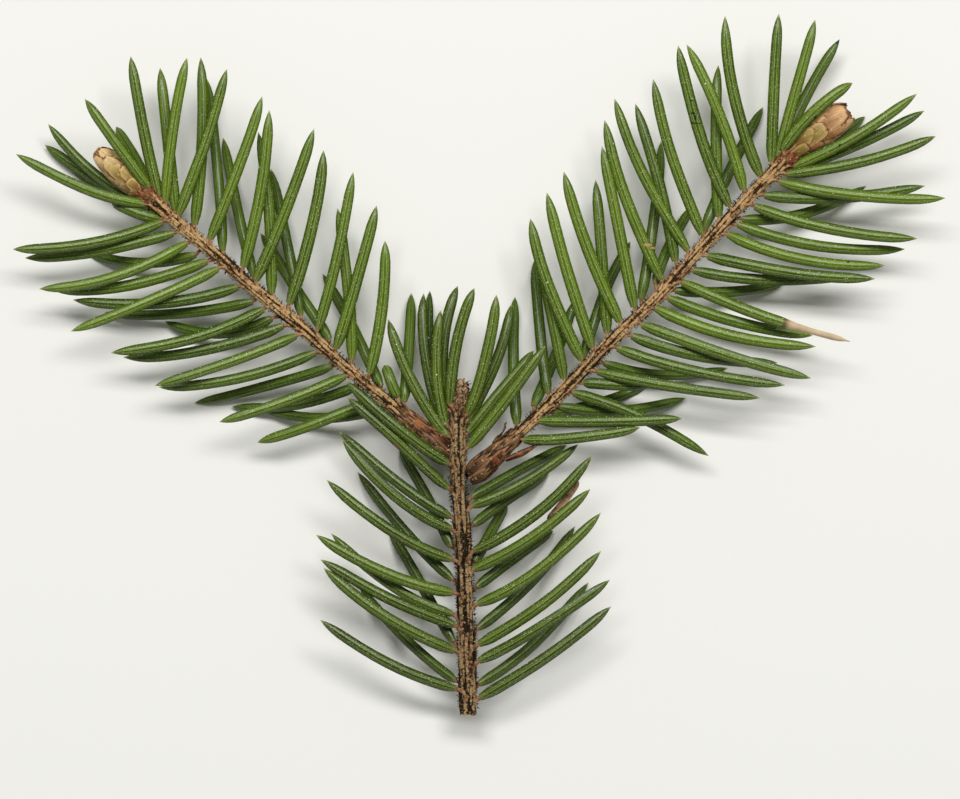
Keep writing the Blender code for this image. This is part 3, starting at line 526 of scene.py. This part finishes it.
# Greens: deep, plain, pale lines. Browns: ridges, pale streaks that also paint the highlight on cushion
# crests, dark specks that also paint the shade in the grooves, pegs
oldGreens = (shade(36, 54, 0), shade(92, 116, 20), shade(178, 190, 126))
youngGreens = (shade(42, 66, 0), shade(108, 136, 22), shade(190, 202, 136))
oldBrowns = (shade(104, 80, 46), shade(162, 132, 92), shade(26, 18, 4), shade(150, 110, 76))
youngBrowns = (shade(118, 86, 44), shade(198, 160, 110), shade(46, 30, 6), shade(170, 122, 84))
finishes = {
    "mainStemNeedles": needlePaint("needlesOld", *oldGreens, stemSpots),
    "leftShootNeedles": needlePaint("needlesLeft", *youngGreens, leftSpots),
    "rightShootNeedles": needlePaint("needlesRight", *youngGreens, rightSpots),
    "stemBark": barkPaint("barkOld", *oldBrowns, sootiness=0.13),
    "shootBark": barkPaint("barkYoung", *youngBrowns, sootiness=0.06),
    "sleeve": scalePaint("sleeveScales", sleeveTints, roughness=0.5),
    "collar": scalePaint("collarScales", collarTints, roughness=0.55),
    "leftBud": scalePaint("leftBudScales", leftBudTints, roughness=0.42),
    "rightBud": scalePaint("rightBudScales", rightBudTints, roughness=0.4),
    "leaderBud": scalePaint("darkBudScales", leaderTints, roughness=0.6),
    "fragment": fragmentPaint("dryFragment"),
    "hair": Paint("darkHair", Base_Color=shade(44, 30, 10), Roughness=0.8, IOR=1.2).material,
}


def ease(value, low, high):     # 0 below low, 1 above high, smooth between
    share = max(0.0, min(1.0, (value - low) / (high - low)))
    return share * share * (3 - 2 * share)


def bent(start, middle, end, t):        # a curve through three places
    bend = 2 * middle - (start + end) / 2
    return start * (1 - t) ** 2 + bend * (2 * t * (1 - t)) + end * t ** 2


# Stems
def smoothLine(points, step):
    ends = [2 * Vector(points[0]) - Vector(points[1]), *[Vector(p) for p in points]]
    ends.append(2 * Vector(points[-1]) - Vector(points[-2]))
    line = []
    for a, b, c, d in zip(ends, ends[1:], ends[2:], ends[3:]):
        count = max(1, round((c - b).length / step))
        for i in range(count):
            t = i / count
            line.append(0.5 * (2 * b + (c - a) * t + (2 * a - 5 * b + 4 * c - d) * t ** 2
                               + (3 * b - a - 3 * c + d) * t ** 3))
    return line + [Vector(points[-1])]


class Twig:     # the line a stem follows, and places on its bark
    flat = 1.0      # height over width of its section

    def __init__(self, points, fromFork, radii):
        self.points, self.travel, self.radii = [], [], radii
        travelled, last = 0.0, None
        for place in smoothLine(points, twigForm["step"]):
            travelled += (place - last).length if last is not None else 0.0
            rise = ease(travelled, 0.0, twigForm["forkRise"]) if fromFork else 1.0
            height = twigForm["forkHeight"] + (twigForm["height"] - twigForm["forkHeight"]) * rise
            self.points.append(Vector((place.x, place.y, height)))
            self.travel.append(travelled)
            last = place
        self.length = travelled

    def at(self, distance):
        step = max(0, min(len(self.points) - 2, bisect.bisect_left(self.travel, distance) - 1))
        share = (distance - self.travel[step]) / (self.travel[step + 1] - self.travel[step])
        return self.points[step].lerp(self.points[step + 1], share)

    def frame(self, distance):
        around = twigForm["lookAround"]
        forward = (self.at(distance + around) - self.at(distance - around)).normalized()
        across = forward.cross(Vector((0, 0, 1))).normalized()
        return self.at(distance), forward, across, across.cross(forward)

    def radius(self, distance):
        for (a, wide), (b, wideAfter) in zip(self.radii, self.radii[1:]):
            if distance <= b:
                return wide + (wideAfter - wide) * max(0.0, distance - a) / (b - a)
        return self.radii[-1][1]

    def outward(self, distance, angle):
        across, up = self.frame(distance)[2:]
        return across * math.cos(angle) + up * math.sin(angle) * self.flat

    def skin(self, distance, angle, lift):      # a point that much above the bark
        return self.at(distance) + self.outward(distance, angle) * (self.radius(distance) + lift)

    def nearest(self, place):
        step = min(range(len(self.points)), key=lambda i: (self.points[i].xy - Vector(place)).length)
        return self.travel[step]


# Needles
def needlePlan(row, t):
    return bent(*(Vector(place) for place in row[:3]), t)


def solidShare(t):
    profile = needleForm["solidProfile"]
    for (a, wideA), (b, wideB) in zip(profile, profile[1:]):
        if t <= b:
            return wideA + (wideB - wideA) * (t - a) / (b - a)
    return 0.0


def needleHeight(row, number, t, drop):
    curve = bent(*needleForm["layerHeight"][row[3]], t)
    own = needleForm["heightSpread"] * math.sin(needleForm["spreadTurn"] * number) * t
    height = twigForm["height"] + curve + own - drop * math.sqrt(t)
    return max(height, solidShare(t) * needleForm["halfThickness"])


def settle(shoots):     # how far each needle drops to pass under those in front, top layer first
    waiting = []
    for name, rows in shoots:
        for number, row in enumerate(rows):
            waiting.append((layers.index(row[3]), len(waiting), name, number, row))
    count = needleForm["crossingSamples"]
    shares = [(i + 1) / count for i in range(count)]
    gap, thickness = needleForm["crossingGap"], needleForm["halfThickness"]
    placed, drops = [], {}
    for *_, name, number, row in sorted(waiting):
        half = needleForm["solidHalfWidth"][name]
        drop = 0.0
        line = [(needlePlan(row, t), t) for t in shares if t > needleForm["rootZone"]]
        for other in placed:
            for place, t in line:
                for front, frontT, frontHeight, frontHalf in other:
                    reach = solidShare(t) * half + solidShare(frontT) * frontHalf
                    apart = (place - front).length / (reach + gap / 2)
                    if apart > 1:
                        continue
                    thick = (solidShare(t) + solidShare(frontT)) * thickness
                    under = frontHeight - (thick + gap) * (1 - apart)
                    drop = max(drop, (needleHeight(row, number, t, 0.0) - under) / math.sqrt(t))
        drops[name, number] = drop
        placed.append([(needlePlan(row, t), t, needleHeight(row, number, t, drop), half) for t in shares])
    return drops


def bladeShare(t):      # width of the real blade: full almost from the root, then a blunt quick point
    footWidth, footGain = needleForm["footWidth"]
    foot = footWidth + footGain * ease(t, *needleForm["footSpan"])
    taper = 1 - needleForm["slimming"] * ease(t, *needleForm["slimmingSpan"])
    pointed = max(0.0, (t - needleForm["pointStart"]) / needleForm["pointLength"])
    return foot * taper * max(1 - pointed ** 3, needleForm["tipWidth"])


notes = ("along", "side", "own", "dry", "low", "raised", "peg", "cut")      # what the finishes read


def notesOf(mesh):
    for name in notes:
        mesh.verts.layers.float.get(name) or mesh.verts.layers.float.new(name)
    return {name: mesh.verts.layers.float[name] for name in notes}


def tube(mesh, sides, rings, place):        # a closed tube, each vertex put by place(vert, angle, share)
    made = bmesh.ops.create_cone(mesh, cap_ends=True, segments=sides, radius1=1, radius2=1, depth=1)
    edges = dict.fromkeys(edge for vert in made["verts"] for edge in vert.link_edges)
    upright = [edge for edge in edges if abs(edge.verts[0].co.z - edge.verts[1].co.z) > 0.5]
    cut = bmesh.ops.subdivide_edges(mesh, edges=upright, cuts=rings - 1)
    inner = [item for item in cut["geom_inner"] if isinstance(item, bmesh.types.BMVert)]
    ends = [edge.other_vert(vert) for vert in inner for edge in vert.link_edges]
    for vert in dict.fromkeys(inner + ends):
        place(vert, math.atan2(vert.co.y, vert.co.x), vert.co.z + 0.5)


def piece(name, mesh, material, slot, *nodes):
    bmesh.ops.recalc_face_normals(mesh, faces=mesh.faces)
    data = bpy.data.meshes.new(name)
    mesh.to_mesh(data)
    mesh.free()
    data.shade_smooth()
    data.set_sharp_from_angle(angle=math.radians(sharpAngle))
    data.materials.append(material)
    made = bpy.data.objects.new(name, data)
    bpy.context.scene.collection.objects.link(made)
    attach(made, "root")
    if nodes:
        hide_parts(*nodes)
    print("spruce branch:", name, len(data.polygons), "faces")


def blade(mesh, centre, wide, high, turn, mark, shareOf=bladeShare):
    # one four-faceted needle along centre(t); mark(vert, t, angle) notes what its finish needs
    def put(vert, angle, share):
        t = min(1.0, max(0.0, share - needleForm["crowding"] * math.sin(2 * math.pi * share)))
        around = needleForm["lookAround"]
        forward = (centre(min(t + around, 1.0)) - centre(max(t - around, 0.0))).normalized()
        across = forward.cross(Vector((0, 0, 1))).normalized()
        up = across.cross(forward)
        swell = needleForm["bulge"] if abs(math.sin(2 * angle)) > 0.5 else 1.0
        reach = swell / (abs(math.cos(angle)) + abs(math.sin(angle))) * shareOf(t)
        x, y = math.cos(angle) * reach * wide, math.sin(angle) * reach * high
        x, y = x * math.cos(turn) - y * math.sin(turn), x * math.sin(turn) + y * math.cos(turn)
        vert.co = (centre(t) + across * x + up * y) * mm
        mark(vert, t, angle)

    tube(mesh, needleForm["sides"], needleForm["rings"], put)


def needles(name, rows, drops, straw):
    mesh = bmesh.new()
    note = notesOf(mesh)
    for number, row in enumerate(rows):
        own = chance.random()
        wobble, phase = chance.uniform(-needleForm["wobble"], needleForm["wobble"]), chance.uniform(0, 6)
        spread = chance.uniform(*needleForm["widthSpread"])
        wide = needleForm["halfWidth"][name] * needleForm["layerWidth"][row[3]] * spread
        high = needleForm["halfThickness"] * chance.uniform(*needleForm["thicknessSpread"])
        heading = (Vector(row[2]) - Vector(row[0])).normalized()
        turn = chance.uniform(-needleForm["tilt"], needleForm["tilt"]) - needleForm["twist"] * heading.x
        low = needleForm["layerPaintedShade"][row[3]]

        def centre(t):
            plan = needlePlan(row, t)
            wave = wobble * math.sin(needleForm["waves"] * t + phase)
            plan += heading.orthogonal() * wave * t * (1 - t) * 4
            return Vector((plan.x, plan.y, needleHeight(row, number, t, drops[name, number])))

        def dryness(t):
            return ease(centre(t).x, straw["from"], straw["to"]) if row[2] == straw["tip"] else 0.0

        def mark(vert, t, angle):
            vert[note["along"]], vert[note["side"]] = t, math.cos(angle)
            vert[note["own"]], vert[note["low"]], vert[note["dry"]] = own, low, dryness(t)

        def shareOf(t):     # a straw end is thinner, and blunt
            dry = dryness(t)
            if not dry:
                return bladeShare(t)
            blunt = 1 - straw["bluntness"] * ease(t, straw["bluntFrom"], 1.0)
            return bladeShare(t) * (1 - dry) + straw["width"] * dry * blunt

        blade(mesh, centre, wide, high, turn, mark, shareOf)
    bmesh.ops.remove_doubles(mesh, verts=mesh.verts, dist=needleForm["weld"] * mm)
    return mesh


# Bark: spans are shares of a cushion's whole length
cushionForm = {"sides": 10, "rings": 14, "lengthSpread": (0.75, 1.15), "widthSpread": (0.85, 1.15),
               "slant": 0.12, "lookAround": 0.03, "ridgeEnd": 0.82, "leaveTwig": (0.74, 1.0),
               "swell": (-0.15, 0.3), "narrowing": (0.68, 0.95), "pegTint": (0.76, 0.88), "ridgeTint": 0.8}


def cushion(mesh, note, twig, form, start, seat, ridge, end):
    # a leaf cushion: a ridge along the twig up to seat, then a short peg that turns aside to end
    shape = cushionForm
    long = min(form["length"] * chance.uniform(*shape["lengthSpread"]), seat - start)
    wide = form["halfWidth"] * chance.uniform(*shape["widthSpread"])
    slant, own = chance.uniform(-shape["slant"], shape["slant"]), chance.random()

    def path(t):
        lift = form["lift"] * ease(t, 0.0, 0.5) - form["sink"]
        distance = seat - long * (1 - min(1.0, t / shape["ridgeEnd"]))
        return twig.skin(distance, ridge + slant * (1 - t), lift).lerp(end, ease(t, *shape["leaveTwig"]))

    def put(vert, angle, share):
        place, around = path(share), shape["lookAround"]
        forward = (path(min(1.0, share + around)) - path(max(0.0, share - around))).normalized()
        up = (place - twig.at(seat - long * (1 - min(1.0, share / shape["ridgeEnd"])))).normalized()
        across = forward.cross(up).normalized()
        up = across.cross(forward)
        narrow = ease(share, *shape["narrowing"])
        size = wide * ease(share, *shape["swell"]) * (1 - narrow) + form["peg"] * narrow
        tall = size * (0.85 + 0.15 * narrow)
        vert.co = (place + across * math.cos(angle) * size + up * math.sin(angle) * tall) * mm
        vert[note["along"]], vert[note["side"]] = seat + share * long, math.cos(angle) + own * 9
        # raised: 1 on a cushion's crest, 0 on its flanks; the bark finish paints highlight on the crest and
        # shade on the flanks from it
        vert[note["raised"]] = max(0.0, math.sin(angle)) ** 0.6 if share < shape["ridgeTint"] else 0.9
        vert[note["peg"]] = ease(share, *shape["pegTint"])

    tube(mesh, shape["sides"], shape["rings"], put)


# How high round the twig a cushion sits, in radians, for the layer of its needle and for bare ones
ridgeAngle = {"top": (1.1, 1.5), "over": (0.7, 1.25), "level": (0.2, 0.6), "low": (-0.7, -0.2),
              "under": (-0.9, -0.2)}
bareAngles = (0.3, -0.45, 0.0, 0.55, -0.2)
bareForm = {"spread": (0.2, 0.8), "angleSpread": 0.12, "first": 1.0, "bothEnds": 1.4, "lean": 0.5,
            "reach": 0.25, "rise": 0.16}
seatBefore = (0.2, 0.45)        # how far before its needle's root a cushion ends


def bark(twig, rows, form, cutEnd, start):
    mesh = bmesh.new()
    note = notesOf(mesh)

    def putTwig(vert, angle, share):
        distance = start + (twig.length - start) * share
        lump = sum(size * math.sin(angle * turns + distance * along)
                   for size, turns, along in twigForm["lumps"])
        vert.co = twig.skin(distance, angle, lump) * mm
        vert[note["along"]], vert[note["side"]] = distance, angle * 1.4
        vert[note["cut"]] = float(cutEnd and share == 0.0)

    tube(mesh, twigForm["sides"], round((twig.length - start) / twigForm["step"]), putTwig)
    for number, row in enumerate(rows):
        root = Vector(row[0])
        seat = twig.nearest(row[0]) - chance.uniform(*seatBefore)
        leftHand = (root - twig.at(seat).xy).dot(twig.frame(seat)[2].xy) < 0
        ridge = chance.uniform(*ridgeAngle[row[3]])
        end = Vector((*row[0], needleHeight(row, number, 0.0, 0.0)))
        cushion(mesh, note, twig, form, form["first"], seat, math.pi - ridge if leftHand else ridge, end)
    for turn in range(form["bare"]):     # cushions whose needles grew behind, or have dropped
        share = (turn + chance.uniform(*bareForm["spread"])) / form["bare"]
        span = twig.length - form["first"] - bareForm["bothEnds"]
        seat = form["first"] + bareForm["first"] + span * share
        ridge = math.pi / 2 + bareAngles[turn % len(bareAngles)]
        ridge += chance.uniform(-bareForm["angleSpread"], bareForm["angleSpread"])
        lean = ridge + chance.uniform(-bareForm["lean"], bareForm["lean"])
        end = twig.skin(seat + bareForm["reach"], lean, bareForm["rise"])
        cushion(mesh, note, twig, form, form["first"], seat, ridge, end)
    if cutEnd:
        bmesh.ops.bisect_plane(mesh, geom=mesh.verts[:] + mesh.edges[:] + mesh.faces[:], dist=0.000001,
                               plane_co=(0, stemLine[0][1] * mm, 0), plane_no=(0, 1, 0), clear_inner=True)
        rim = [edge for edge in mesh.edges if edge.is_boundary]
        for face in bmesh.ops.holes_fill(mesh, edges=rim, sides=0)["faces"]:
            for vert in face.verts:
                vert[note["cut"]] = 1.0
    return mesh


hairForm = {"length": (0.16, 0.36), "thickness": 0.033, "lift": 0.1, "sideLean": (-0.9, 0.9),
            "forwardLean": (-0.5, 0.8), "thicknessSpread": (0.8, 1.2), "sides": 4, "tipShare": 0.3}


def hairs(twig, form):      # short stiff hairs between the cushions
    mesh = bmesh.new()
    for _ in range(form["count"]):
        distance = chance.uniform(form["from"], form["to"])
        angle = chance.uniform(-math.pi, math.pi)
        long = chance.uniform(*form["length"])
        lean = twig.outward(distance, angle + chance.uniform(*hairForm["sideLean"]))
        lean = (lean + twig.frame(distance)[1] * chance.uniform(*hairForm["forwardLean"])).normalized()
        middle = (twig.skin(distance, angle, form["lift"]) + lean * long / 2) * mm
        stand = Matrix.Translation(middle) @ lean.to_track_quat("Z", "Y").to_matrix().to_4x4()
        thick = form["thickness"] * mm * chance.uniform(*hairForm["thicknessSpread"])
        bmesh.ops.create_cone(mesh, cap_ends=True, segments=hairForm["sides"], radius1=thick,
                              radius2=thick * hairForm["tipShare"], depth=long * mm, matrix=stand)
    return mesh


# Scales: thin curved plates laid like shingles on a round body. u runs across a plate, v along it
plateForm = {"faces": 8, "angleSpread": 0.15, "lengthSpread": (0.9, 1.12), "flareSpread": (0.7, 1.3),
             "shoulder": 0.25, "pointLength": 0.77, "pointPower": 2.4, "tipWidth": 0.15, "teeth": 7,
             "ownTeeth": 20, "hug": 0.6, "curl": 0.3}


def scales(mesh, body, rounds, form):       # rounds: start, how many, length, half span in radians, flare
    note, plate = notesOf(mesh), plateForm
    outermost = rounds[-1][0] + rounds[-1][2]
    for turn, (distance, count, long, span, flare) in enumerate(rounds):
        for i in range(count):
            middle = 2 * math.pi * (i + 0.5 * (turn % 2)) / count
            middle += chance.uniform(-plate["angleSpread"], plate["angleSpread"]) + form["turn"]
            reach = long * chance.uniform(*plate["lengthSpread"])
            away = flare * chance.uniform(*plate["flareSpread"])
            own = chance.random()
            begin = distance + chance.uniform(-1, 1) * form["jitter"]
            made = bmesh.ops.create_grid(mesh, x_segments=plate["faces"], y_segments=plate["faces"], size=0.5)
            for vert in made["verts"]:
                u, v = vert.co.x * 2, vert.co.y + 0.5
                pointed = (max(0.0, v - plate["shoulder"]) / plate["pointLength"]) ** plate["pointPower"]
                narrow = math.sqrt(max(0.0, 1 - pointed)) * (1 - plate["tipWidth"]) + plate["tipWidth"]
                teeth = math.sin(u * plate["teeth"] + own * plate["ownTeeth"]) * ease(v, 0.6, 1.0)
                at = begin + reach * (1 + form["ragged"] * teeth) * v
                lift = form["lift"] * (1 - u * u * plate["hug"]) + away * v * v * (1 - plate["curl"] * u * u)
                lift += form["bulge"] * math.sin(math.pi * v) * (1 - u * u) + form["stagger"] * (i % 2)
                vert.co = body.skin(at, middle + u * span * narrow, lift) * mm
                vert[note["along"]], vert[note["side"]], vert[note["own"]] = v, u, own
                outwards = (at - rounds[0][0]) / (outermost - rounds[0][0])
                vert[note["raised"]] = outwards * form["fade"]
            outer = dict.fromkeys(face for vert in made["verts"] for face in vert.link_faces)
            both = bmesh.ops.extrude_face_region(mesh, geom=list(outer), use_keep_orig=True)
            axis = body.at(begin) * mm
            along = (body.at(begin + reach) * mm - axis).normalized()
            for vert in both["geom"]:
                if isinstance(vert, bmesh.types.BMVert):
                    centre = axis + along * (vert.co - axis).dot(along)
                    vert.co += (centre - vert.co).normalized() * form["thickness"] * mm
    return mesh


coreForm = {"sides": 20, "rings": 16, "along": 0.1, "streaks": 3}


def core(mesh, body, start, end, sink):     # the closed body that a bud's scales lie on
    note = notesOf(mesh)

    def put(vert, angle, share):
        vert.co = body.skin(start + (end - start) * share, angle, -sink) * mm
        vert[note["along"]], vert[note["side"]] = coreForm["along"], math.sin(coreForm["streaks"] * angle)

    tube(mesh, coreForm["sides"], coreForm["rings"], put)
    return mesh


class Bud(Twig):        # a short stem, bent or straight, whose radius swells and closes
    def __init__(self, foot, tip, radii, flat=1.0, bend=(0.0, 0.0)):
        self.foot, self.tip, self.flat = Vector(foot), Vector(tip), flat
        self.bend = Vector((*bend, 0.0))
        self.length = (self.tip - self.foot).length
        self.radii = [(share * self.length, radius) for share, radius in radii]

    def at(self, distance):
        share = distance / self.length
        return self.foot.lerp(self.tip, share) + self.bend * (4 * share * (1 - share))


print("spruce branch: placing the twigs")
oldCushion = {"first": -0.6, "length": 5.2, "halfWidth": 0.2, "lift": 0.04, "sink": 0.02, "peg": 0.19,
              "bare": 9}
youngCushion = {"first": 5.6, "length": 3.8, "halfWidth": 0.165, "lift": 0.03, "sink": 0.0, "peg": 0.16,
                "bare": 14}
shoots = {
    "mainStem": {"line": stemLine, "needles": stemNeedles, "node": "main_stem", "fromFork": False,
                 "radii": [(0.0, 0.68), (20.0, 0.62), (27.6, 0.56)],
                 "bark": "stemBark", "cushion": oldCushion, "cutEnd": True, "barkFrom": -0.4,
                 "hairs": {"count": 1900, "from": 0.6, "to": 27.4}},
    "leftShoot": {"line": leftLine, "needles": leftNeedles, "node": "left_shoot", "fromFork": True,
                  "radii": [(0.0, 0.6), (2.1, 0.95), (5.0, 0.74), (7.0, 0.44), (34.0, 0.46), (37.1, 0.76)],
                  "bark": "shootBark", "cushion": youngCushion, "cutEnd": False, "barkFrom": 1.2,
                  "hairs": {"count": 1400, "from": 6.4, "to": 36.8}},
    "rightShoot": {"line": rightLine, "needles": rightNeedles, "node": "right_shoot", "fromFork": True,
                   "radii": [(0.0, 0.55), (2.2, 1.0), (5.0, 0.76), (7.0, 0.45), (39.0, 0.48), (42.1, 0.8)],
                   "bark": "shootBark", "cushion": youngCushion, "cutEnd": False, "barkFrom": 1.2,
                   "hairs": {"count": 1600, "from": 6.4, "to": 41.8}},
}
strawEnd = {"tip": (33.15, 2.1), "from": 27.6, "to": 28.8, "width": 0.54, "bluntness": 0.85,
            "bluntFrom": 0.92}
twigs = {name: Twig(shoot["line"], shoot["fromFork"], shoot["radii"]) for name, shoot in shoots.items()}
drops = settle([(name, shoot["needles"]) for name, shoot in shoots.items()])

print("spruce branch: needles")
for name, shoot in shoots.items():
    piece(name + "Needles", needles(name, shoot["needles"], drops, strawEnd), finishes[name + "Needles"],
          "shoot_green", shoot["node"])

print("spruce branch: a dry broken needle tip, caught under a green needle")
fragment = {"root": (6.2, -13.9, 4.9), "middle": (7.7, -12.1, 4.7), "tip": (8.95, -10.4, 4.3), "wide": 0.38,
            "high": 0.12, "turn": 0.5}
fragmentMesh = bmesh.new()
fragmentNote = notesOf(fragmentMesh)


def fragmentCentre(t):
    return bent(*(Vector(fragment[place]) for place in ("root", "middle", "tip")), t)


def fragmentMark(vert, t, angle):
    vert[fragmentNote["along"]], vert[fragmentNote["side"]] = t, math.cos(angle)


blade(fragmentMesh, fragmentCentre, fragment["wide"], fragment["high"], fragment["turn"], fragmentMark)
piece("dryFragment", fragmentMesh, finishes["fragment"], "bud_brown")

print("spruce branch: bark and pegs")
for name, shoot in shoots.items():
    mesh = bark(twigs[name], shoot["needles"], shoot["cushion"], shoot["cutEnd"], shoot["barkFrom"])
    piece(name + "Bark", mesh, finishes[shoot["bark"]], "shoot_green", shoot["node"])

print("spruce branch: black hairs")
for name, shoot in shoots.items():
    piece(name + "Hairs", hairs(twigs[name], {**hairForm, **shoot["hairs"]}), finishes["hair"], "shoot_green")

print("spruce branch: old bud scales round the shoots' feet")
sleeveForm = {"lift": 0.03, "bulge": 0.08, "ragged": 0.2, "thickness": 0.05, "turn": 0.0, "jitter": 0.4,
              "stagger": 0.05, "fade": 1.0}
sleeveRounds = [(1.1, 6, 2.1, 0.62, 0.12), (1.9, 5, 2.6, 0.66, 0.14), (2.9, 5, 2.7, 0.62, 0.16),
                (4.0, 5, 2.5, 0.58, 0.2), (5.0, 5, 1.9, 0.52, 0.26)]
leftSleeve = scales(bmesh.new(), twigs["leftShoot"], sleeveRounds, sleeveForm)
piece("leftSleeve", leftSleeve, finishes["sleeve"], "shoot_green")
rightSleeve = scales(bmesh.new(), twigs["rightShoot"], sleeveRounds, sleeveForm)
looseScale = Bud((2.4, -8.35, 4.7), (5.2, -6.95, 4.9), [(0.0, 0.3), (0.5, 0.45), (1.0, 0.2)])
scales(rightSleeve, looseScale, [(0.0, 1, 3.0, 1.25, 0.05)], {**sleeveForm, "turn": 0.5})
sootFlakes = Bud((1.5, -6.85, 4.5), (2.8, -5.65, 4.7), [(0.0, 0.12), (1.0, 0.2)])
scales(rightSleeve, sootFlakes, [(0.0, 3, 0.8, 0.7, 0.2), (0.7, 3, 0.8, 0.5, 0.3)],
       {**sleeveForm, "fade": 0.0})
piece("rightSleeve", rightSleeve, finishes["sleeve"], "shoot_green")

print("spruce branch: buds")
budForm = {"lift": 0.02, "bulge": 0.05, "ragged": 0.02, "thickness": 0.05, "turn": 0.3, "jitter": 0.15,
           "stagger": 0.05, "fade": 1.0}
buds = {
    "leftBud": {"foot": (-30.0, 15.7, 4.3), "tip": (-34.5, 19.35, 4.75), "flat": 0.85, "bend": (0.0, 0.0),
                "radii": [(0.0, 0.95), (0.17, 1.18), (0.43, 1.28), (0.62, 1.18), (0.83, 0.86), (1.0, 0.36)],
                "coreFrom": -0.7, "coreTo": 0.96, "coreSink": 0.08, "slot": "bud_tan", "node": "left_bud",
                "rounds": [(-0.3, 7, 1.3, 0.55, 0.06), (0.5, 7, 1.5, 0.58, 0.04), (1.3, 6, 1.7, 0.62, 0.03),
                           (2.0, 6, 1.8, 0.66, 0.03), (2.8, 5, 1.8, 0.76, 0.03), (3.7, 4, 1.6, 0.95, 0.03)]},
    "rightBud": {"foot": (28.2, 19.4, 4.3), "tip": (33.3, 22.65, 4.75), "flat": 0.74, "bend": (-0.16, 0.26),
                 "radii": [(0.0, 0.94), (0.2, 1.4), (0.48, 1.66), (0.78, 1.38), (0.92, 1.06), (1.0, 0.78)],
                 "coreFrom": -0.9, "coreTo": 0.95, "coreSink": 0.1, "slot": "bud_tan", "node": "right_bud",
                 "rounds": [(-0.4, 7, 1.5, 0.55, 0.06), (0.4, 7, 2.0, 0.58, 0.05), (1.2, 6, 2.6, 0.66, 0.05),
                            (2.2, 4, 3.0, 0.98, 0.05), (3.3, 4, 2.8, 0.98, 0.07)]},
    "leaderBud": {"foot": (-1.8, -4.6, 4.1), "tip": (-1.65, -1.35, 4.1), "flat": 1.0, "bend": (0.0, 0.0),
                  "radii": [(0.0, 0.6), (0.35, 0.77), (0.65, 0.75), (0.88, 0.55), (1.0, 0.26)],
                  "coreFrom": 0.0, "coreTo": 1.0, "coreSink": 0.06, "slot": "bud_brown", "node": "leader_bud",
                  "rounds": [(0.1, 7, 0.9, 0.45, 0.12), (0.6, 7, 0.9, 0.45, 0.14), (1.1, 6, 1.0, 0.5, 0.14),
                             (1.6, 6, 1.0, 0.55, 0.12), (2.2, 5, 1.0, 0.6, 0.1)]},
}
budBodies = {}
for name, bud in buds.items():
    body = budBodies[name] = Bud(bud["foot"], bud["tip"], bud["radii"], bud["flat"], bud["bend"])
    mesh = core(bmesh.new(), body, bud["coreFrom"], body.length * bud["coreTo"], bud["coreSink"])
    piece(name, scales(mesh, body, bud["rounds"], budForm), finishes[name], bud["slot"], bud["node"])

print("spruce branch: frayed scales and hairs at the buds' feet")
collarForm = {"lift": 0.03, "bulge": 0.02, "ragged": 0.25, "thickness": 0.03, "turn": 0.0, "jitter": 0.15,
              "stagger": 0.03, "fade": 1.0}
collarRounds = [(0.0, 8, 0.9, 0.36, 0.16), (0.4, 9, 1.0, 0.3, 0.2), (0.8, 9, 1.0, 0.28, 0.24),
                (1.2, 10, 0.9, 0.24, 0.28)]
collars = {
    "leftCollar": {"foot": (-28.7, 14.6, 4.2), "tip": (-31.0, 16.5, 4.35), "flat": 0.9,
                   "radii": [(0.0, 0.58), (0.4, 0.86), (1.0, 1.14)]},
    "rightCollar": {"foot": (26.7, 17.8, 4.2), "tip": (29.2, 20.1, 4.35), "flat": 0.85,
                    "radii": [(0.0, 0.6), (0.4, 0.86), (1.0, 1.16)]},
}
for name, collar in collars.items():
    body = Bud(collar["foot"], collar["tip"], collar["radii"], collar["flat"])
    piece(name, scales(bmesh.new(), body, collarRounds, collarForm), finishes["collar"], "bud_brown")
leaderHairs = {"count": 260, "from": 0.3, "to": 3.1, "length": (0.2, 0.5), "thickness": 0.036, "lift": 0.06}
piece("leaderHairs", hairs(budBodies["leaderBud"], leaderHairs), finishes["hair"], "bud_brown")

print("spruce branch: floor, lights and camera")
room = {"floorSize": 0.6, "floorTint": shade(243, 243, 238), "skyTint": (0.99, 1.0, 0.95, 1.0),
        "skyStrength": 0.19}
keyLight = {"place": (0.04, 0.38, 0.82), "width": 0.8, "depth": 0.19, "power": 8.3,
            "tint": (1.0, 0.99, 0.99)}
floorMesh = bmesh.new()
bmesh.ops.create_grid(floorMesh, x_segments=1, y_segments=1, size=room["floorSize"])
floorData = bpy.data.meshes.new("floor")
floorMesh.to_mesh(floorData)
floorMesh.free()
floorData.materials.append(Paint("palePaper", Base_Color=room["floorTint"], Roughness=0.8).material)
floor = bpy.data.objects.new("floor", floorData)
bpy.context.scene.collection.objects.link(floor)

lightData = bpy.data.lights.new("key", "AREA")
lightData.shape = "RECTANGLE"
lightData.size, lightData.size_y = keyLight["width"], keyLight["depth"]
lightData.energy, lightData.color = keyLight["power"], keyLight["tint"]
light = bpy.data.objects.new("key", lightData)
light.location = keyLight["place"]
light.rotation_euler = Vector(keyLight["place"]).to_track_quat("Z", "Y").to_euler()
bpy.context.scene.collection.objects.link(light)

world = bpy.data.worlds.new("paleRoom")
world.use_nodes = True
sky = world.node_tree.nodes["Background"].inputs
sky["Color"].default_value, sky["Strength"].default_value = room["skyTint"], room["skyStrength"]
bpy.context.scene.world = world
bpy.context.scene.view_settings.view_transform = "Standard"

view = {"lens": 300.0, "sensor": 36.0, "frameWidth": 85.94, "centre": (0.09, -3.09), "sharpPlane": 5.0}
cameraData = bpy.data.cameras.new("camera")
cameraData.lens, cameraData.sensor_width = view["lens"], view["sensor"]
cameraData.clip_start, cameraData.clip_end = 0.05, 5.0
camera = bpy.data.objects.new("camera", cameraData)
height = view["frameWidth"] * view["lens"] / view["sensor"] + view["sharpPlane"]
camera.location = Vector((*view["centre"], height)) * mm
bpy.context.scene.collection.objects.link(camera)
bpy.context.scene.camera = camera


def plain(box):
    return [[float(value) for value in corner] for corner in box]
